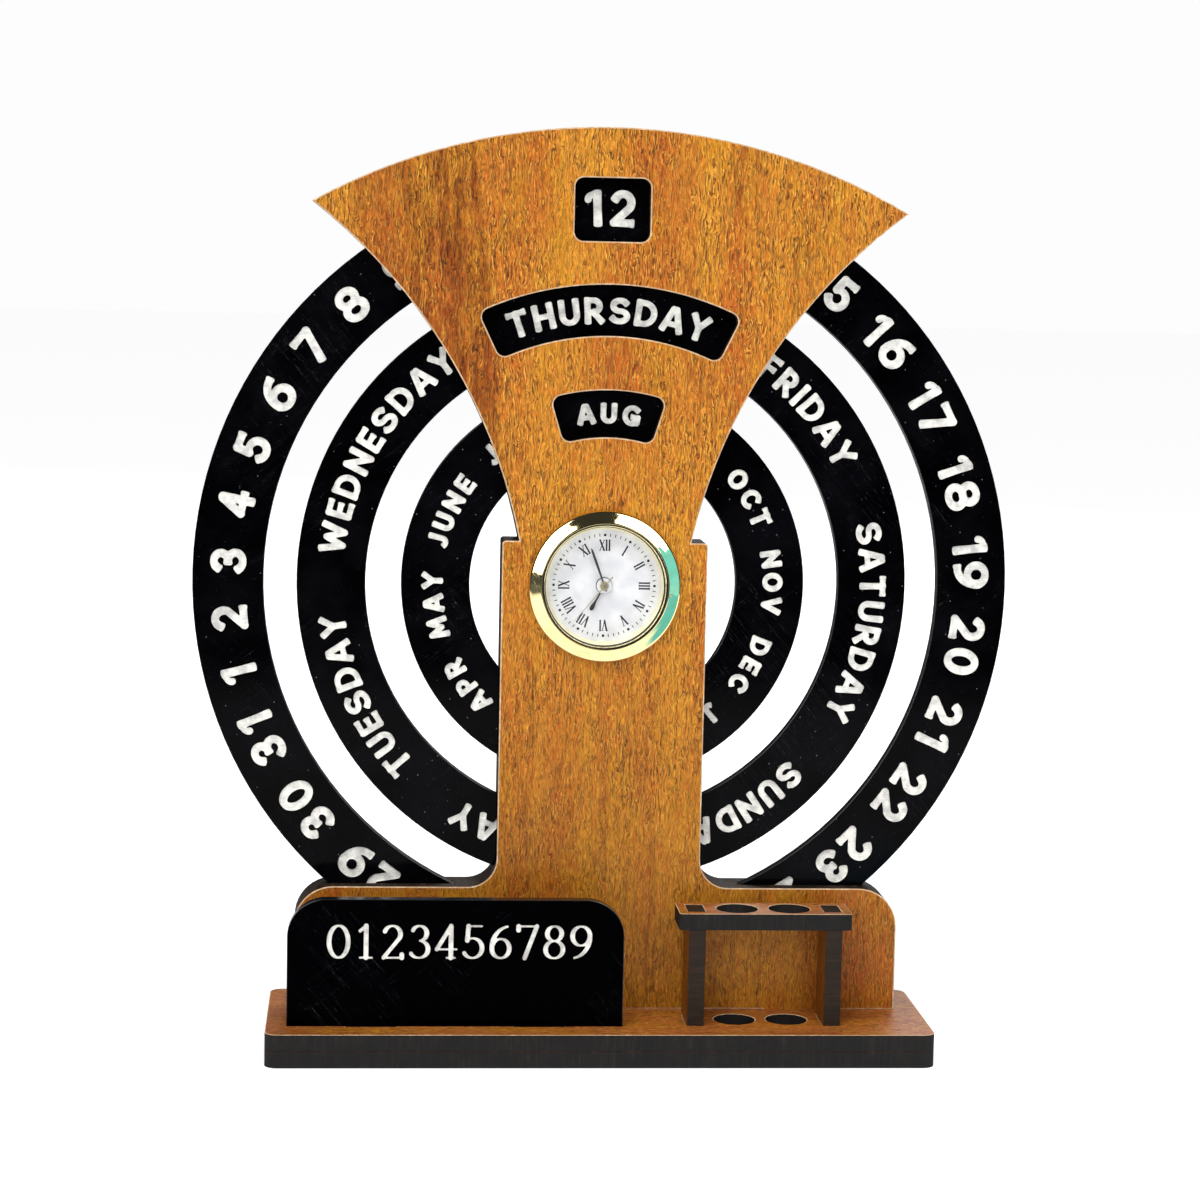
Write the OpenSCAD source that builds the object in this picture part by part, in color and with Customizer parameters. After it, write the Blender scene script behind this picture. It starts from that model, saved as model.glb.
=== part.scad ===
// Desk calendar clock: a laser-cut stand with three turning calendar rings,
// a push-in quartz clock, a card slot and a rack for two pencils.
// X runs to the right, Y to the back and Z up. The origin is under the middle of the base.

/* [Base] */
// Width of the base
base_w = 158.5; // [150:0.5:200]
// Depth of the base
base_d = 44; // [40:0.5:60]
// Thickness of each of the two base layers
base_layer_t = 4; // [3:0.5:8]
// Radius of the base's upright corners
base_corner_r = 3; // [1:0.5:8]

/* [Upright] */
// Height of the whole stand
total_h = 220; // [210:1:270]
// Thickness of the front panel and of the back panel
panel_t = 4; // [3:0.5:6]
// Distance of the front panel behind the base's front edge
panel_setback = 24.5; // [22:0.5:26]
// Width of the column
column_w = 49.3; // [45:0.1:56]
// Height of the column's shoulders
shoulder_z = 122; // [115:0.5:126]
// Radius of the shoulders' corners
shoulder_r = 0.8; // [0.3:0.1:2]
// Width of the neck just above the shoulders
neck_w = 41.2; // [38:0.1:45]
// Height of the fan's hollow sides above the shoulders
fan_rise = 79.3; // [70:0.1:79.3]
// Width of the fan from tip to tip
fan_w = 141.2; // [125:0.1:165]
// Rise of the fan's curved top above its tips
fan_crown = 18.7; // [10:0.1:30]
// Radius of the fan's hollow sides
fan_side_r = 133.5; // [110:0.5:180]
// Width of the foot
foot_w = 146.6; // [130:0.1:150]
// Height of the top of the foot
foot_top_z = 38; // [30:0.5:45]
// Radius of the foot's top corners
foot_corner_r = 9.5; // [3:0.5:14]
// Radius of the hollow between the foot and the column
foot_fillet_r = 7; // [2:0.5:12]
// Width of each tab that joins a panel to the base
panel_tab_w = 18; // [10:1:24]
// Distance between the middles of a panel's two tabs
panel_tab_pitch = 100; // [80:1:110]

/* [Calendar rings] */
// Height of the middle of the rings and the clock
clock_z = 111.4; // [110:0.1:114]
// Thickness of the acrylic rings
ring_t = 3; // [2:0.5:5]
// Outer radius of the date ring
date_ring_r = 98.2; // [92:0.1:100]
// Width of the date ring
date_ring_w = 16.8; // [12:0.1:18]
// Outer radius of the weekday ring
day_ring_r = 73.5; // [68:0.1:76]
// Width of the weekday ring
day_ring_w = 16.4; // [12:0.1:18]
// Outer radius of the month ring
month_ring_r = 48.6; // [44:0.1:51]
// Width of the month ring
month_ring_w = 16.4; // [12:0.1:18]
// Play in front of each ring and behind it
ring_face_gap = 0.5; // [0.2:0.1:1]
// Play between each ring and the tracks that carry it
ring_edge_gap = 0.3; // [0.1:0.05:0.6]

/* [Windows] */
// Width of the date window
date_window_w = 18; // [14:0.5:22]
// Height of the date window
date_window_h = 14.9; // [10:0.1:16]
// Angle that the weekday window spans
day_window_angle = 51.6; // [40:0.1:56]
// Height of the weekday window
day_window_h = 12.1; // [8:0.1:15]
// Angle that the month window spans
month_window_angle = 34.2; // [26:0.1:44]
// Height of the month window
month_window_h = 11.2; // [8:0.1:14]
// How far the date window lies outside the middle of its ring
date_window_lift = -0.5; // [-1:0.1:1]
// How far the weekday window lies outside the middle of its ring
day_window_lift = 0.4; // [-1:0.1:1]
// How far the month window lies outside the middle of its ring
month_window_lift = 0.8; // [-1:0.1:1]
// Radius of the windows' corners
window_corner_r = 2.2; // [0.5:0.1:3.5]

/* [Card plate] */
// Width of the card plate
plate_w = 79.5; // [60:0.5:86]
// Height of the card plate above the base
plate_h = 30.5; // [20:0.5:45]
// Thickness of the card plate
plate_t = 3; // [2:0.5:5]
// Radius of the plate's top corners
plate_corner_r = 9; // [3:0.5:14]
// Distance of the plate from the base's left end
plate_inset = 4.9; // [2:0.1:12]
// Distance of the plate behind the base's front edge
plate_setback = 7.7; // [5:0.1:10]
// Width of each tab under the plate
plate_tab_w = 12; // [8:1:18]

/* [Pen rack] */
// Width of the rack's top board
rack_w = 41.4; // [38:0.1:50]
// Depth of the rack's top board
rack_d = 12.5; // [12:0.1:13.5]
// Thickness of the rack's boards
rack_t = 4; // [3:0.5:5]
// Height of the rack above the base
rack_h = 27.2; // [15:0.1:60]
// Distance of the rack from the base's right end
rack_inset = 19.5; // [6:0.1:22]
// Distance of the rack behind the base's front edge
rack_setback = 8.5; // [5:0.1:9]
// How far the top board stands out past each leg
rack_overhang = 2.3; // [1:0.1:4]
// Depth of the tabs at both ends of the legs
leg_tab_d = 7.4; // [5:0.1:9]
// Diameter of the pencil holes
pencil_hole_d = 10; // [8:0.1:11]
// Distance between the middles of the two pencil holes
pencil_pitch = 12.6; // [12:0.1:13.5]

/* [Clock insert] */
// Diameter of the hole that takes the clock
clock_hole_d = 35; // [33:0.5:42]
// How far the bezel covers the panel around the hole
bezel_lap = 0.75; // [0.5:0.05:2]
// Diameter of the dial that shows inside the bezel
dial_view_d = 28.4; // [24:0.2:29]
// Height of the bezel in front of the panel
bezel_h = 2.6; // [2.2:0.1:4]
// Depth of the insert behind the panel's front face
insert_depth = 11; // [10.6:0.1:14]
// Thickness of the lens
lens_t = 1; // [0.6:0.1:1.4]
// Room for the hands between the lens and the dial
hand_room = 2.5; // [2.5:0.1:3]
// Diameter of the button cell
cell_d = 11.6; // [9:0.1:11.8]
// Thickness of the button cell
cell_t = 3.1; // [2:0.1:3.2]
// Length of the hour hand
hour_hand_l = 6.8; // [5:0.1:9]
// Length of the minute hand
minute_hand_l = 9.6; // [7:0.1:12]
// Length of the second hand
second_hand_l = 10.9; // [8:0.1:13]
// Clockwise angle of the hour hand from twelve
hour_angle = 208.3; // [0:0.1:359.9]
// Clockwise angle of the minute hand from twelve
minute_angle = 339.7; // [0:0.1:359.9]
// Clockwise angle of the second hand from twelve
second_angle = 220; // [0:1:359]

/* [Fits] */
// Play on each side of a glued tab in its slot
tab_gap = 0.1; // [0.05:0.05:0.3]
// Play around a turning arbor in its bearing
arbor_gap = 0.05; // [0.02:0.01:0.08]
// Play around the pieces that are stacked in the bezel
stack_gap = 0.1; // [0.05:0.05:0.2]

/* [Hidden] */
$fn = 96;

wood = "#b06a26";
acrylic = "#0c0c0e";
gold = "#d8b25a";
steel = "#b9bcc0";
plastic = "#1b1b1e";

// Levels and depths of the stand
base_h = 2 * base_layer_t;
base_front = -base_d / 2;
panel_front = base_front + panel_setback;
ring_layer_front = panel_front + panel_t;
ring_layer_t = ring_t + 2 * ring_face_gap;
back_front = ring_layer_front + ring_layer_t;

// The fan's top arc and the arcs of its hollow sides, which end at the tips of the top or below them
crown_r = (pow(fan_w / 2, 2) + pow(fan_crown, 2)) / (2 * fan_crown);
tip = [fan_w / 2, min(shoulder_z + fan_rise, total_h - fan_crown)];
neck = [neck_w / 2, shoulder_z];
side_chord = norm(tip - neck);
side_dir = (tip - neck) / side_chord;
side_centre = (tip + neck) / 2
    + sqrt(pow(fan_side_r, 2) - pow(side_chord / 2, 2)) * [side_dir[1], -side_dir[0]];
join = 1;   // how far outlines that are joined run into each other

// Radii of the tracks between the rings
hub_r = month_ring_r - month_ring_w - ring_edge_gap;
inner_track = [month_ring_r + ring_edge_gap, day_ring_r - day_ring_w - ring_edge_gap];
outer_track = [day_ring_r + ring_edge_gap, date_ring_r - date_ring_w - ring_edge_gap];
rim_r = date_ring_r + ring_edge_gap;

// Card plate and pen rack
plate_x = -base_w / 2 + plate_inset + plate_w / 2;
plate_tab_pitch = plate_w / 2;
rack_x = base_w / 2 - rack_inset - rack_w / 2;
rack_front = base_front + rack_setback;
rack_mid_y = rack_front + rack_d / 2;
rack_top_z = base_h + rack_h;
leg_x = rack_w / 2 - rack_overhang - rack_t / 2;

// Clock insert: radii, and depths behind the panel's front face
bezel_r = clock_hole_d / 2 + bezel_lap;
view_r = dial_view_d / 2;
sleeve_gap = 0.9;   // filled by the rubber ring's ribs
sleeve_r = clock_hole_d / 2 - sleeve_gap;
sleeve_wall = 1.3;
stack_r = sleeve_r - sleeve_wall - stack_gap;
sleeve_end = 5;
case_wall = 1.3;
case_in_r = stack_r - case_wall;
back_wall_t = 1;
back_wall_u = insert_depth - back_wall_t;
bezel_lip_t = 1.2;
lens_u = bezel_lip_t - bezel_h;
dial_u = lens_u + lens_t + hand_room;
dial_t = 0.4;
plate_u = dial_u + dial_t;
movement_plate_t = 0.8;
level_gap = 0.2;
wheel_t = 0.6;
hour_wheel_u = plate_u + movement_plate_t + level_gap;
setting_wheel_u = hour_wheel_u + wheel_t + 0.5;
bridge_u = setting_wheel_u + wheel_t + 2 * level_gap;
bridge_t = 0.8;
contact_t = 0.2;
rest_gap = 0.1;   // play between flat pieces that lie on each other in the case
rear_u = bridge_u + bridge_t + rest_gap;
cell_u = back_wall_u - cell_t - rest_gap;

// Arbors, pipes and the levels of the hands
second_arbor_r = 0.4;
minute_bore_r = second_arbor_r + arbor_gap;
minute_arbor_r = 0.8;
hour_bore_r = minute_arbor_r + arbor_gap;
hour_pipe_r = 1.25;
bush_bore_r = hour_pipe_r + arbor_gap;
bush_r = 1.9;
hand_t = 0.25;
hand_step = (hand_room - 0.7) / 3;
second_hand_u = lens_u + lens_t + 0.45;
minute_hand_u = second_hand_u + hand_step;
hour_hand_u = minute_hand_u + hand_step;

// Setting gears: the minute arbor's pinion turns the setting wheel, which turns the hour wheel
gear_module = 0.25;
cannon_teeth = 10;
setting_teeth = 30;
setting_pinion_teeth = 8;
hour_teeth = 32;
gear_distance = gear_module * (cannon_teeth + setting_teeth) / 2;
setting_dir = 180;   // the setting arbor lies to the left of the middle
setting_arbor_r = 0.5;
setting_pivot_r = 0.3;
knob_r = 3.2;
knob_t = 1.8;
knob_u = insert_depth + 0.5;
knob_flutes = 18;

// Button cell, its contacts and its cover with a bayonet
cell_gap = 0.2;
cell_x = case_in_r - cell_d / 2 - cell_gap;
leaf_w = 3;
leaf_t = 0.25;
leaf_y = -cell_d / 2 - rest_gap - leaf_t;
board_y = leaf_y - 0.95;   // upper edge of the circuit board, where the contact's tail ends
wall_gap = 0.4;
cover_lip = 0.4;
cover_gap = 0.1;
cover_r = cell_d / 2 + cover_lip;
cover_u = back_wall_u + 0.05;
cover_end_u = insert_depth + 0.2;
cover_lug_out = 0.8;
cover_lug_angle = 30;
cover_lug_u = [back_wall_u - 0.6, back_wall_u - 0.15];
cover_turn = 40;   // turn that brings the lugs to the notches of the hole

// Rubber ring around the case
gasket_u = [sleeve_end + 0.8, sleeve_end + 3.8];
gasket_groove = 0.5;
gasket_gap = 0.05;

// ---- Helpers ------------------------------------------------------------------------------

// A sheet cut to an outline that is drawn in X and Z, with its front face at Y = front
module sheet(front, thickness) {
    translate([0, front + thickness, 0]) rotate([90, 0, 0])
        linear_extrude(thickness) children();
}

// A flat piece of the insert, from one depth to another, drawn around the clock's middle
module layer(u0, u1) {
    translate([0, panel_front + u1, clock_z]) rotate([90, 0, 0])
        linear_extrude(u1 - u0) children();
}

// A turned piece of the insert: its profile is a list of [radius, depth behind the panel's face]
module turned(profile) {
    translate([0, panel_front, clock_z]) rotate([90, 0, 0])
        rotate_extrude() polygon([for (p = profile) [p[0], -p[1]]]);
}

module annulus(r_in, r_out) {
    difference() {
        circle(r = r_out);
        circle(r = r_in);
    }
}

// A rectangle with four round corners, centred
module rounded_plate(w, h, r) {
    square([w, h - 2 * r], center = true);
    square([w - 2 * r, h], center = true);
    for (sx = [-1, 1], sy = [-1, 1])
        translate([sx * (w / 2 - r), sy * (h / 2 - r)]) circle(r = r);
}

// A rectangle that stands on y = 0 with two round top corners
module arched_plate(w, h, r) {
    translate([-w / 2, 0]) square([w, h - r]);
    translate([-w / 2 + r, 0]) square([w - 2 * r, h]);
    for (s = [-1, 1])
        translate([s * (w / 2 - r), h - r]) circle(r = r);
}

// Points along an arc
function arc_points(centre, r, from, to, steps) =
    [for (i = [0 : steps]) let (a = from + (to - from) * i / steps) centre + r * [cos(a), sin(a)]];

// A window that bends around the origin, with round corners
module bent_window(r_mid, height, angle, corner) {
    r_out = r_mid + height / 2;
    r_in = r_mid - height / 2;
    half = angle / 2;
    out_turn = asin(corner / (r_out - corner));
    in_turn = asin(corner / (r_in + corner));
    function corner_centre(r, a) = r * [cos(a), sin(a)];
    right = 90 - half;
    left = 90 + half;
    polygon(concat(
        arc_points([0, 0], r_out, right + out_turn, left - out_turn, 36),
        arc_points(corner_centre(r_out - corner, left - out_turn), corner, left - out_turn, left + 90, 8),
        arc_points(corner_centre(r_in + corner, left - in_turn), corner, left + 90, left - in_turn + 180, 8),
        arc_points([0, 0], r_in, left - in_turn, right + in_turn, 30),
        arc_points(corner_centre(r_in + corner, right + in_turn), corner, right + in_turn - 180,
                   right - 90, 8),
        arc_points(corner_centre(r_out - corner, right + out_turn), corner, right - 90, right + out_turn, 8)
    ));
}

// Involute tooth outline, drawn so that a tooth points along +x
function inv(a) = tan(a) * 180 / PI - a;
function tooth_half(teeth, r, thin) =
    let (base_r = gear_module * teeth * cos(20) / 2)
    90 / teeth * (1 - thin) + inv(20) - (r > base_r ? inv(acos(base_r / r)) : 0);
function tooth_points(teeth, thin) =
    let (pitch_r = gear_module * teeth / 2,
         tip_r = pitch_r + 0.8 * gear_module,
         root_r = pitch_r - 1.2 * gear_module,
         base_r = pitch_r * cos(20),
         radii = [root_r, max(root_r + 0.01, base_r), pitch_r, tip_r])
    concat([for (r = radii) [r, -tooth_half(teeth, r, thin)]],
           [for (i = [3 : -1 : 0]) [radii[i], tooth_half(teeth, radii[i], thin)]]);
module gear(teeth, turn) {
    polygon([for (k = [0 : teeth - 1], p = tooth_points(teeth, 0.16))
        p[0] * [cos(p[1] + turn + 360 * k / teeth), sin(p[1] + turn + 360 * k / teeth)]]);
}

// A pointed hand seen from the front, turned clockwise from twelve
module hand(length, width, tip_width, tail, hub_r, bore_r, angle) {
    rotate(-angle) difference() {
        union() {
            circle(r = hub_r);
            polygon([[-width / 2, -tail], [width / 2, -tail], [width / 2, length * 0.35],
                     [tip_width / 2, length], [-tip_width / 2, length], [-width / 2, length * 0.35]]);
        }
        circle(r = bore_r);
    }
}

// ---- Outlines -----------------------------------------------------------------------------

module fan_outline() {
    difference() {
        intersection() {
            translate([0, total_h - crown_r]) circle(r = crown_r, $fn = 360);
            translate([-fan_w / 2, shoulder_z - join]) square([fan_w, total_h - shoulder_z + 2 * join]);
        }
        for (s = [-1, 1])
            translate([s * side_centre[0], side_centre[1]]) circle(r = fan_side_r, $fn = 360);
    }
}

module column_outline() {
    translate([0, base_h]) arched_plate(column_w, shoulder_z - base_h, shoulder_r);
}

module foot_outline() {
    translate([0, base_h]) arched_plate(foot_w, foot_top_z - base_h, foot_corner_r);
    for (s = [-1, 1])
        translate([s * column_w / 2, foot_top_z]) scale_x(s) difference() {
            translate([-join, -join]) square(foot_fillet_r + join);
            translate([foot_fillet_r, foot_fillet_r]) circle(r = foot_fillet_r);
        }
}

// Mirrors left and right when s is -1
module scale_x(s) {
    if (s < 0) mirror([1, 0]) children();
    else children();
}

module upright_outline() {
    fan_outline();
    column_outline();
    foot_outline();
}

module panel_tabs() {
    for (s = [-1, 1])
        translate([s * panel_tab_pitch / 2 - panel_tab_w / 2, base_layer_t])
            square([panel_tab_w, base_layer_t + join]);
}

// A piece of the ring layer, between two radii, inside the upright's outline
module track(radii) {
    color(wood) sheet(ring_layer_front, ring_layer_t) intersection() {
        upright_outline();
        translate([0, clock_z]) annulus(radii[0], radii[1]);
        children();
    }
}

module above_clock() translate([-fan_w, clock_z]) square([2 * fan_w, total_h]);
module below_clock() translate([-fan_w, clock_z - total_h]) square([2 * fan_w, total_h]);

// ---- Stand --------------------------------------------------------------------------------

module base_lower() {
    color(wood) linear_extrude(base_layer_t) rounded_plate(base_w, base_d, base_corner_r);
}

module base_upper() {
    color(wood) translate([0, 0, base_layer_t]) linear_extrude(base_layer_t) difference() {
        rounded_plate(base_w, base_d, base_corner_r);
        for (x = [-1, 1] * pencil_pitch / 2)
            translate([rack_x + x, rack_mid_y]) circle(d = pencil_hole_d);
        for (front = [panel_front, back_front], s = [-1, 1])
            translate([s * panel_tab_pitch / 2, front + panel_t / 2]) slot(panel_tab_w, panel_t);
        for (s = [-1, 1])
            translate([plate_x + s * plate_tab_pitch / 2, base_front + plate_setback + plate_t / 2])
                slot(plate_tab_w, plate_t);
        for (s = [-1, 1])
            translate([rack_x + s * leg_x, rack_mid_y]) slot(rack_t, leg_tab_d);
    }
}

// A slot for a tab of that width and thickness
module slot(w, t) {
    square([w + 2 * tab_gap, t + 2 * tab_gap], center = true);
}

module front_panel() {
    color(wood) sheet(panel_front, panel_t) {
        difference() {
            upright_outline();
            translate([0, clock_z]) {
                circle(d = clock_hole_d);
                translate([0, date_ring_r - date_ring_w / 2 + date_window_lift])
                    rounded_plate(date_window_w, date_window_h, window_corner_r);
                bent_window(day_ring_r - day_ring_w / 2 + day_window_lift, day_window_h,
                            day_window_angle, window_corner_r);
                bent_window(month_ring_r - month_ring_w / 2 + month_window_lift, month_window_h,
                            month_window_angle, window_corner_r);
            }
        }
        panel_tabs();
    }
}

module back_panel() {
    color(wood) sheet(back_front, panel_t) {
        difference() {
            upright_outline();
            translate([0, clock_z]) circle(d = clock_hole_d);
        }
        panel_tabs();
    }
}

module hub_spacer() track([clock_hole_d / 2, hub_r]) whole_upright();
module whole_upright() translate([-fan_w, 0]) square([2 * fan_w, total_h]);
module inner_track_upper() track(inner_track) above_clock();
module inner_track_lower() track(inner_track) below_clock();
module outer_track_upper() track(outer_track) above_clock();
module outer_track_lower() track(outer_track) below_clock();
module rim_spacer() track([rim_r, 2 * total_h]) above_clock();
module foot_spacer() track([rim_r, 2 * total_h]) below_clock();

module calendar_ring(r, w) {
    color(acrylic) sheet(ring_layer_front + ring_face_gap, ring_t)
        translate([0, clock_z]) annulus(r - w, r);
}
module date_ring() calendar_ring(date_ring_r, date_ring_w);
module day_ring() calendar_ring(day_ring_r, day_ring_w);
module month_ring() calendar_ring(month_ring_r, month_ring_w);

module card_plate() {
    color(acrylic) sheet(base_front + plate_setback, plate_t) translate([plate_x, 0]) {
        translate([0, base_h]) arched_plate(plate_w, plate_h, plate_corner_r);
        for (s = [-1, 1])
            translate([s * plate_tab_pitch / 2 - plate_tab_w / 2, base_layer_t])
                square([plate_tab_w, base_layer_t + join]);
    }
}

module rack_top() {
    color(wood) translate([rack_x, rack_mid_y, rack_top_z - rack_t]) linear_extrude(rack_t)
        difference() {
            rounded_plate(rack_w, rack_d, 0.8);
            for (x = [-1, 1] * pencil_pitch / 2) translate([x, 0]) circle(d = pencil_hole_d);
            for (s = [-1, 1]) translate([s * leg_x, 0]) slot(rack_t, leg_tab_d);
        }
}

// A leg is a board on edge: full depth between the base and the top board, with a tab at each end
module rack_leg(side) {
    color(wood) translate([rack_x + side * leg_x - rack_t / 2, rack_mid_y, 0]) {
        translate([0, -rack_d / 2, base_h]) cube([rack_t, rack_d, rack_h - rack_t]);
        translate([0, -leg_tab_d / 2, base_layer_t]) cube([rack_t, leg_tab_d, rack_top_z - base_layer_t]);
    }
}
module rack_leg_left() rack_leg(-1);
module rack_leg_right() rack_leg(1);

// ---- Clock insert: shell ------------------------------------------------------------------

module clock_bezel() {
    rim_round = 1;
    rim_rise = 0.5;    // from the round rim to the crest
    crest_w = 0.4;
    crest_drop = 0.15;
    dish_w = 0.7;      // slope between the crest and the lens
    lens_edge = 0.3;
    color(gold) turned(concat(
        [[sleeve_r, sleeve_end], [sleeve_r, 0], [bezel_r, 0]],
        arc_points([bezel_r - rim_round, rim_round + rim_rise - bezel_h], rim_round, 0, -80, 6),
        [[view_r + dish_w + crest_w, -bezel_h], [view_r + dish_w, crest_drop - bezel_h],
         [view_r, lens_u - lens_edge], [view_r, lens_u],
         [stack_r + stack_gap, lens_u], [stack_r + stack_gap, sleeve_end]]
    ));
}

module clock_lens() color([0.9, 0.95, 1, 0.3]) layer(lens_u, lens_u + lens_t) circle(r = stack_r);

// A slanted ring between the lens and the dial
module dial_ring() {
    inner = view_r - 0.4;
    edge_t = 0.3;
    color("#2a2a2c") turned([
        [view_r + stack_gap, lens_u + lens_t], [stack_r, lens_u + lens_t], [stack_r, dial_u],
        [inner, dial_u], [inner, dial_u - edge_t]
    ]);
}

module clock_dial() color("#e6e4de") layer(dial_u, plate_u) annulus(bush_r + stack_gap, stack_r);

module clock_case() {
    groove_r = sleeve_r - gasket_groove;
    chamfer = 0.4;
    color(plastic) difference() {
        turned([
            [0, insert_depth], [sleeve_r - chamfer, insert_depth], [sleeve_r, insert_depth - chamfer],
            [sleeve_r, gasket_u[1]], [groove_r, gasket_u[1]], [groove_r, gasket_u[0]],
            [sleeve_r, gasket_u[0]], [sleeve_r, sleeve_end], [stack_r, sleeve_end],
            [stack_r, plate_u + movement_plate_t], [case_in_r, plate_u + movement_plate_t],
            [case_in_r, back_wall_u], [0, back_wall_u]
        ]);
        layer(back_wall_u - join, insert_depth + join) {
            at_setting_arbor() circle(r = setting_arbor_r + arbor_gap);
            translate([cell_x, 0]) {
                circle(r = cover_r + cover_gap);
                rotate(-cover_turn) cover_lugs(1.5 * cover_gap);
            }
        }
    }
}

module clock_gasket() {
    lip_r = clock_hole_d / 2 - gasket_gap;
    dip_r = sleeve_r + 0.3;
    groove_r = sleeve_r - gasket_groove;
    ribs = 3;
    rib_l = (gasket_u[1] - gasket_u[0] - 2 * gasket_gap) / ribs;
    start = gasket_u[0] + gasket_gap;
    color("#151515") turned(concat(
        [[groove_r, start]],
        [for (k = [0 : ribs - 1], p = [[dip_r, 0], [lip_r, 0.3], [lip_r, 0.7]])
            [p[0], start + (k + p[1]) * rib_l]],
        [[dip_r, start + ribs * rib_l], [groove_r, start + ribs * rib_l]]
    ));
}

module cover_lugs(extra) {
    for (side = [90, 270])
        intersection() {
            annulus(cell_d / 2 + cover_gap, cover_r + cover_lug_out + extra);
            rotate(side) wedge(cover_lug_angle / 2 + 2 * extra);
        }
}

// A triangle that spans half an angle to each side of +x
module wedge(half) {
    reach = 4 * cover_r;
    polygon([[0, 0], reach * [cos(half), -sin(half)], reach * [cos(half), sin(half)]]);
}

module battery_cover() {
    coin_slot = [8, 1];
    coin_slot_depth = 0.5;
    color(plastic) difference() {
        union() {
            layer(cover_u, cover_end_u) translate([cell_x, 0]) circle(r = cover_r);
            layer(cover_lug_u[0], cover_lug_u[1]) translate([cell_x, 0]) cover_lugs(0);
            layer(cover_lug_u[0], cover_u + 0.1) translate([cell_x, 0])
                intersection() {
                    cover_lugs(0);
                    circle(r = cover_r);
                }
        }
        layer(cover_end_u - coin_slot_depth, cover_end_u + join) translate([cell_x, 0])
            square(coin_slot, center = true);
    }
}

// ---- Clock insert: movement ---------------------------------------------------------------

module at_setting_arbor() translate(gear_distance * [cos(setting_dir), sin(setting_dir)]) children();

module movement_plate() {
    color(plastic) {
        layer(plate_u, plate_u + movement_plate_t) difference() {
            circle(r = stack_r);
            circle(r = bush_bore_r);
            at_setting_arbor() circle(r = setting_pivot_r + arbor_gap);
        }
        layer(dial_u - 0.1, plate_u + 0.1) annulus(bush_bore_r, bush_r);
    }
}

module movement_bridge() {
    posts = [40, 140, 220, 320];
    post_r = 0.9;
    color(plastic) {
        layer(bridge_u, bridge_u + bridge_t) difference() {
            circle(r = case_in_r - stack_gap);
            circle(r = second_arbor_r + arbor_gap);
            at_setting_arbor() circle(r = setting_arbor_r + arbor_gap);
        }
        layer(plate_u + movement_plate_t, bridge_u + 0.1)
            for (a = posts) rotate(a) translate([case_in_r - 2.4, 0]) circle(r = post_r);
    }
}

module hour_hand() color("black") layer(hour_hand_u, hour_hand_u + hand_t)
    hand(hour_hand_l, 1.1, 0.45, 1.6, 1.9, hour_pipe_r, hour_angle);

module hour_wheel() {
    color("white") {
        layer(hour_wheel_u, hour_wheel_u + wheel_t) difference() {
            gear(hour_teeth, setting_dir + 180 / hour_teeth);
            circle(r = hour_bore_r);
        }
        layer(hour_hand_u - 0.1, hour_wheel_u + 0.1) annulus(hour_bore_r, hour_pipe_r);
    }
}

module minute_hand() color("black") layer(minute_hand_u, minute_hand_u + hand_t)
    hand(minute_hand_l, 0.8, 0.35, 1.8, 1.4, minute_arbor_r, minute_angle);

module minute_arbor() {
    color(gold) {
        layer(minute_hand_u - 0.1, bridge_u - 0.1) annulus(minute_bore_r, minute_arbor_r);
        layer(setting_wheel_u - 0.1, setting_wheel_u + wheel_t + 0.1) difference() {
            gear(cannon_teeth, setting_dir);
            circle(r = minute_bore_r);
        }
    }
}

module second_hand() color(gold) layer(second_hand_u, second_hand_u + hand_t)
    hand(second_hand_l, 0.3, 0.2, 3.6, 0.9, second_arbor_r, second_angle);

module second_arbor() color(steel) layer(second_hand_u - 0.1, rear_u + 0.6) circle(r = second_arbor_r);

module setting_wheel() {
    color(gold) {
        layer(plate_u + 0.1, hour_wheel_u) at_setting_arbor() circle(r = setting_pivot_r);
        layer(hour_wheel_u - 0.1, setting_wheel_u + 0.1) at_setting_arbor()
            gear(setting_pinion_teeth, setting_dir + 180);
        layer(setting_wheel_u, setting_wheel_u + wheel_t) at_setting_arbor()
            gear(setting_teeth, setting_dir + 180 + 180 / setting_teeth);
        layer(setting_wheel_u + 0.1, knob_u + knob_t / 2) at_setting_arbor() circle(r = setting_arbor_r);
    }
}

module setting_knob() {
    flute_r = 0.35;
    color(plastic) difference() {
        layer(knob_u, knob_u + knob_t) at_setting_arbor() difference() {
            circle(r = knob_r);
            for (k = [1 : knob_flutes])
                rotate(k * 360 / knob_flutes) translate([knob_r, 0]) circle(r = flute_r, $fn = 16);
        }
        layer(knob_u - join, knob_u + knob_t / 2) at_setting_arbor() circle(r = setting_arbor_r);
    }
}

// The sealed stepper unit: a block above the middle and an arm that takes the second arbor
module drive_module() {
    block = [12, 4.6];
    block_t = 3;
    arm_w = 3.4;
    arm_t = 0.8;
    block_y = case_in_r - 2 - block[1];
    color("#3a6b4a") {
        layer(rear_u, rear_u + block_t) translate([-block[0] / 2, block_y]) square(block);
        layer(rear_u, rear_u + arm_t) difference() {
            translate([-arm_w / 2, -arm_w / 2]) square([arm_w, block_y + join + arm_w / 2]);
            circle(r = second_arbor_r + arbor_gap);
        }
    }
}

// The board lies below the middle, and its upper edge meets the contact's tail
module circuit_board() {
    board_t = 0.8;
    board_h = 4.8;
    board_left = -6.3;
    chip = [4, 2.6];
    chip_t = 1;
    color("#2f6d3a") {
        layer(rear_u, rear_u + board_t) intersection() {
            translate([board_left, board_y - board_h])
                square([cell_x + leaf_w / 2 - board_left, board_h]);
            circle(r = case_in_r - wall_gap);
        }
        layer(rear_u + board_t / 2, rear_u + board_t + chip_t)
            translate([-chip[0] / 2, board_y - (board_h + chip[1]) / 2]) square(chip);
    }
}

module button_cell() color(steel) {
    layer(cell_u, cell_u + cell_t) translate([cell_x, 0]) circle(d = cell_d);
}

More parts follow.
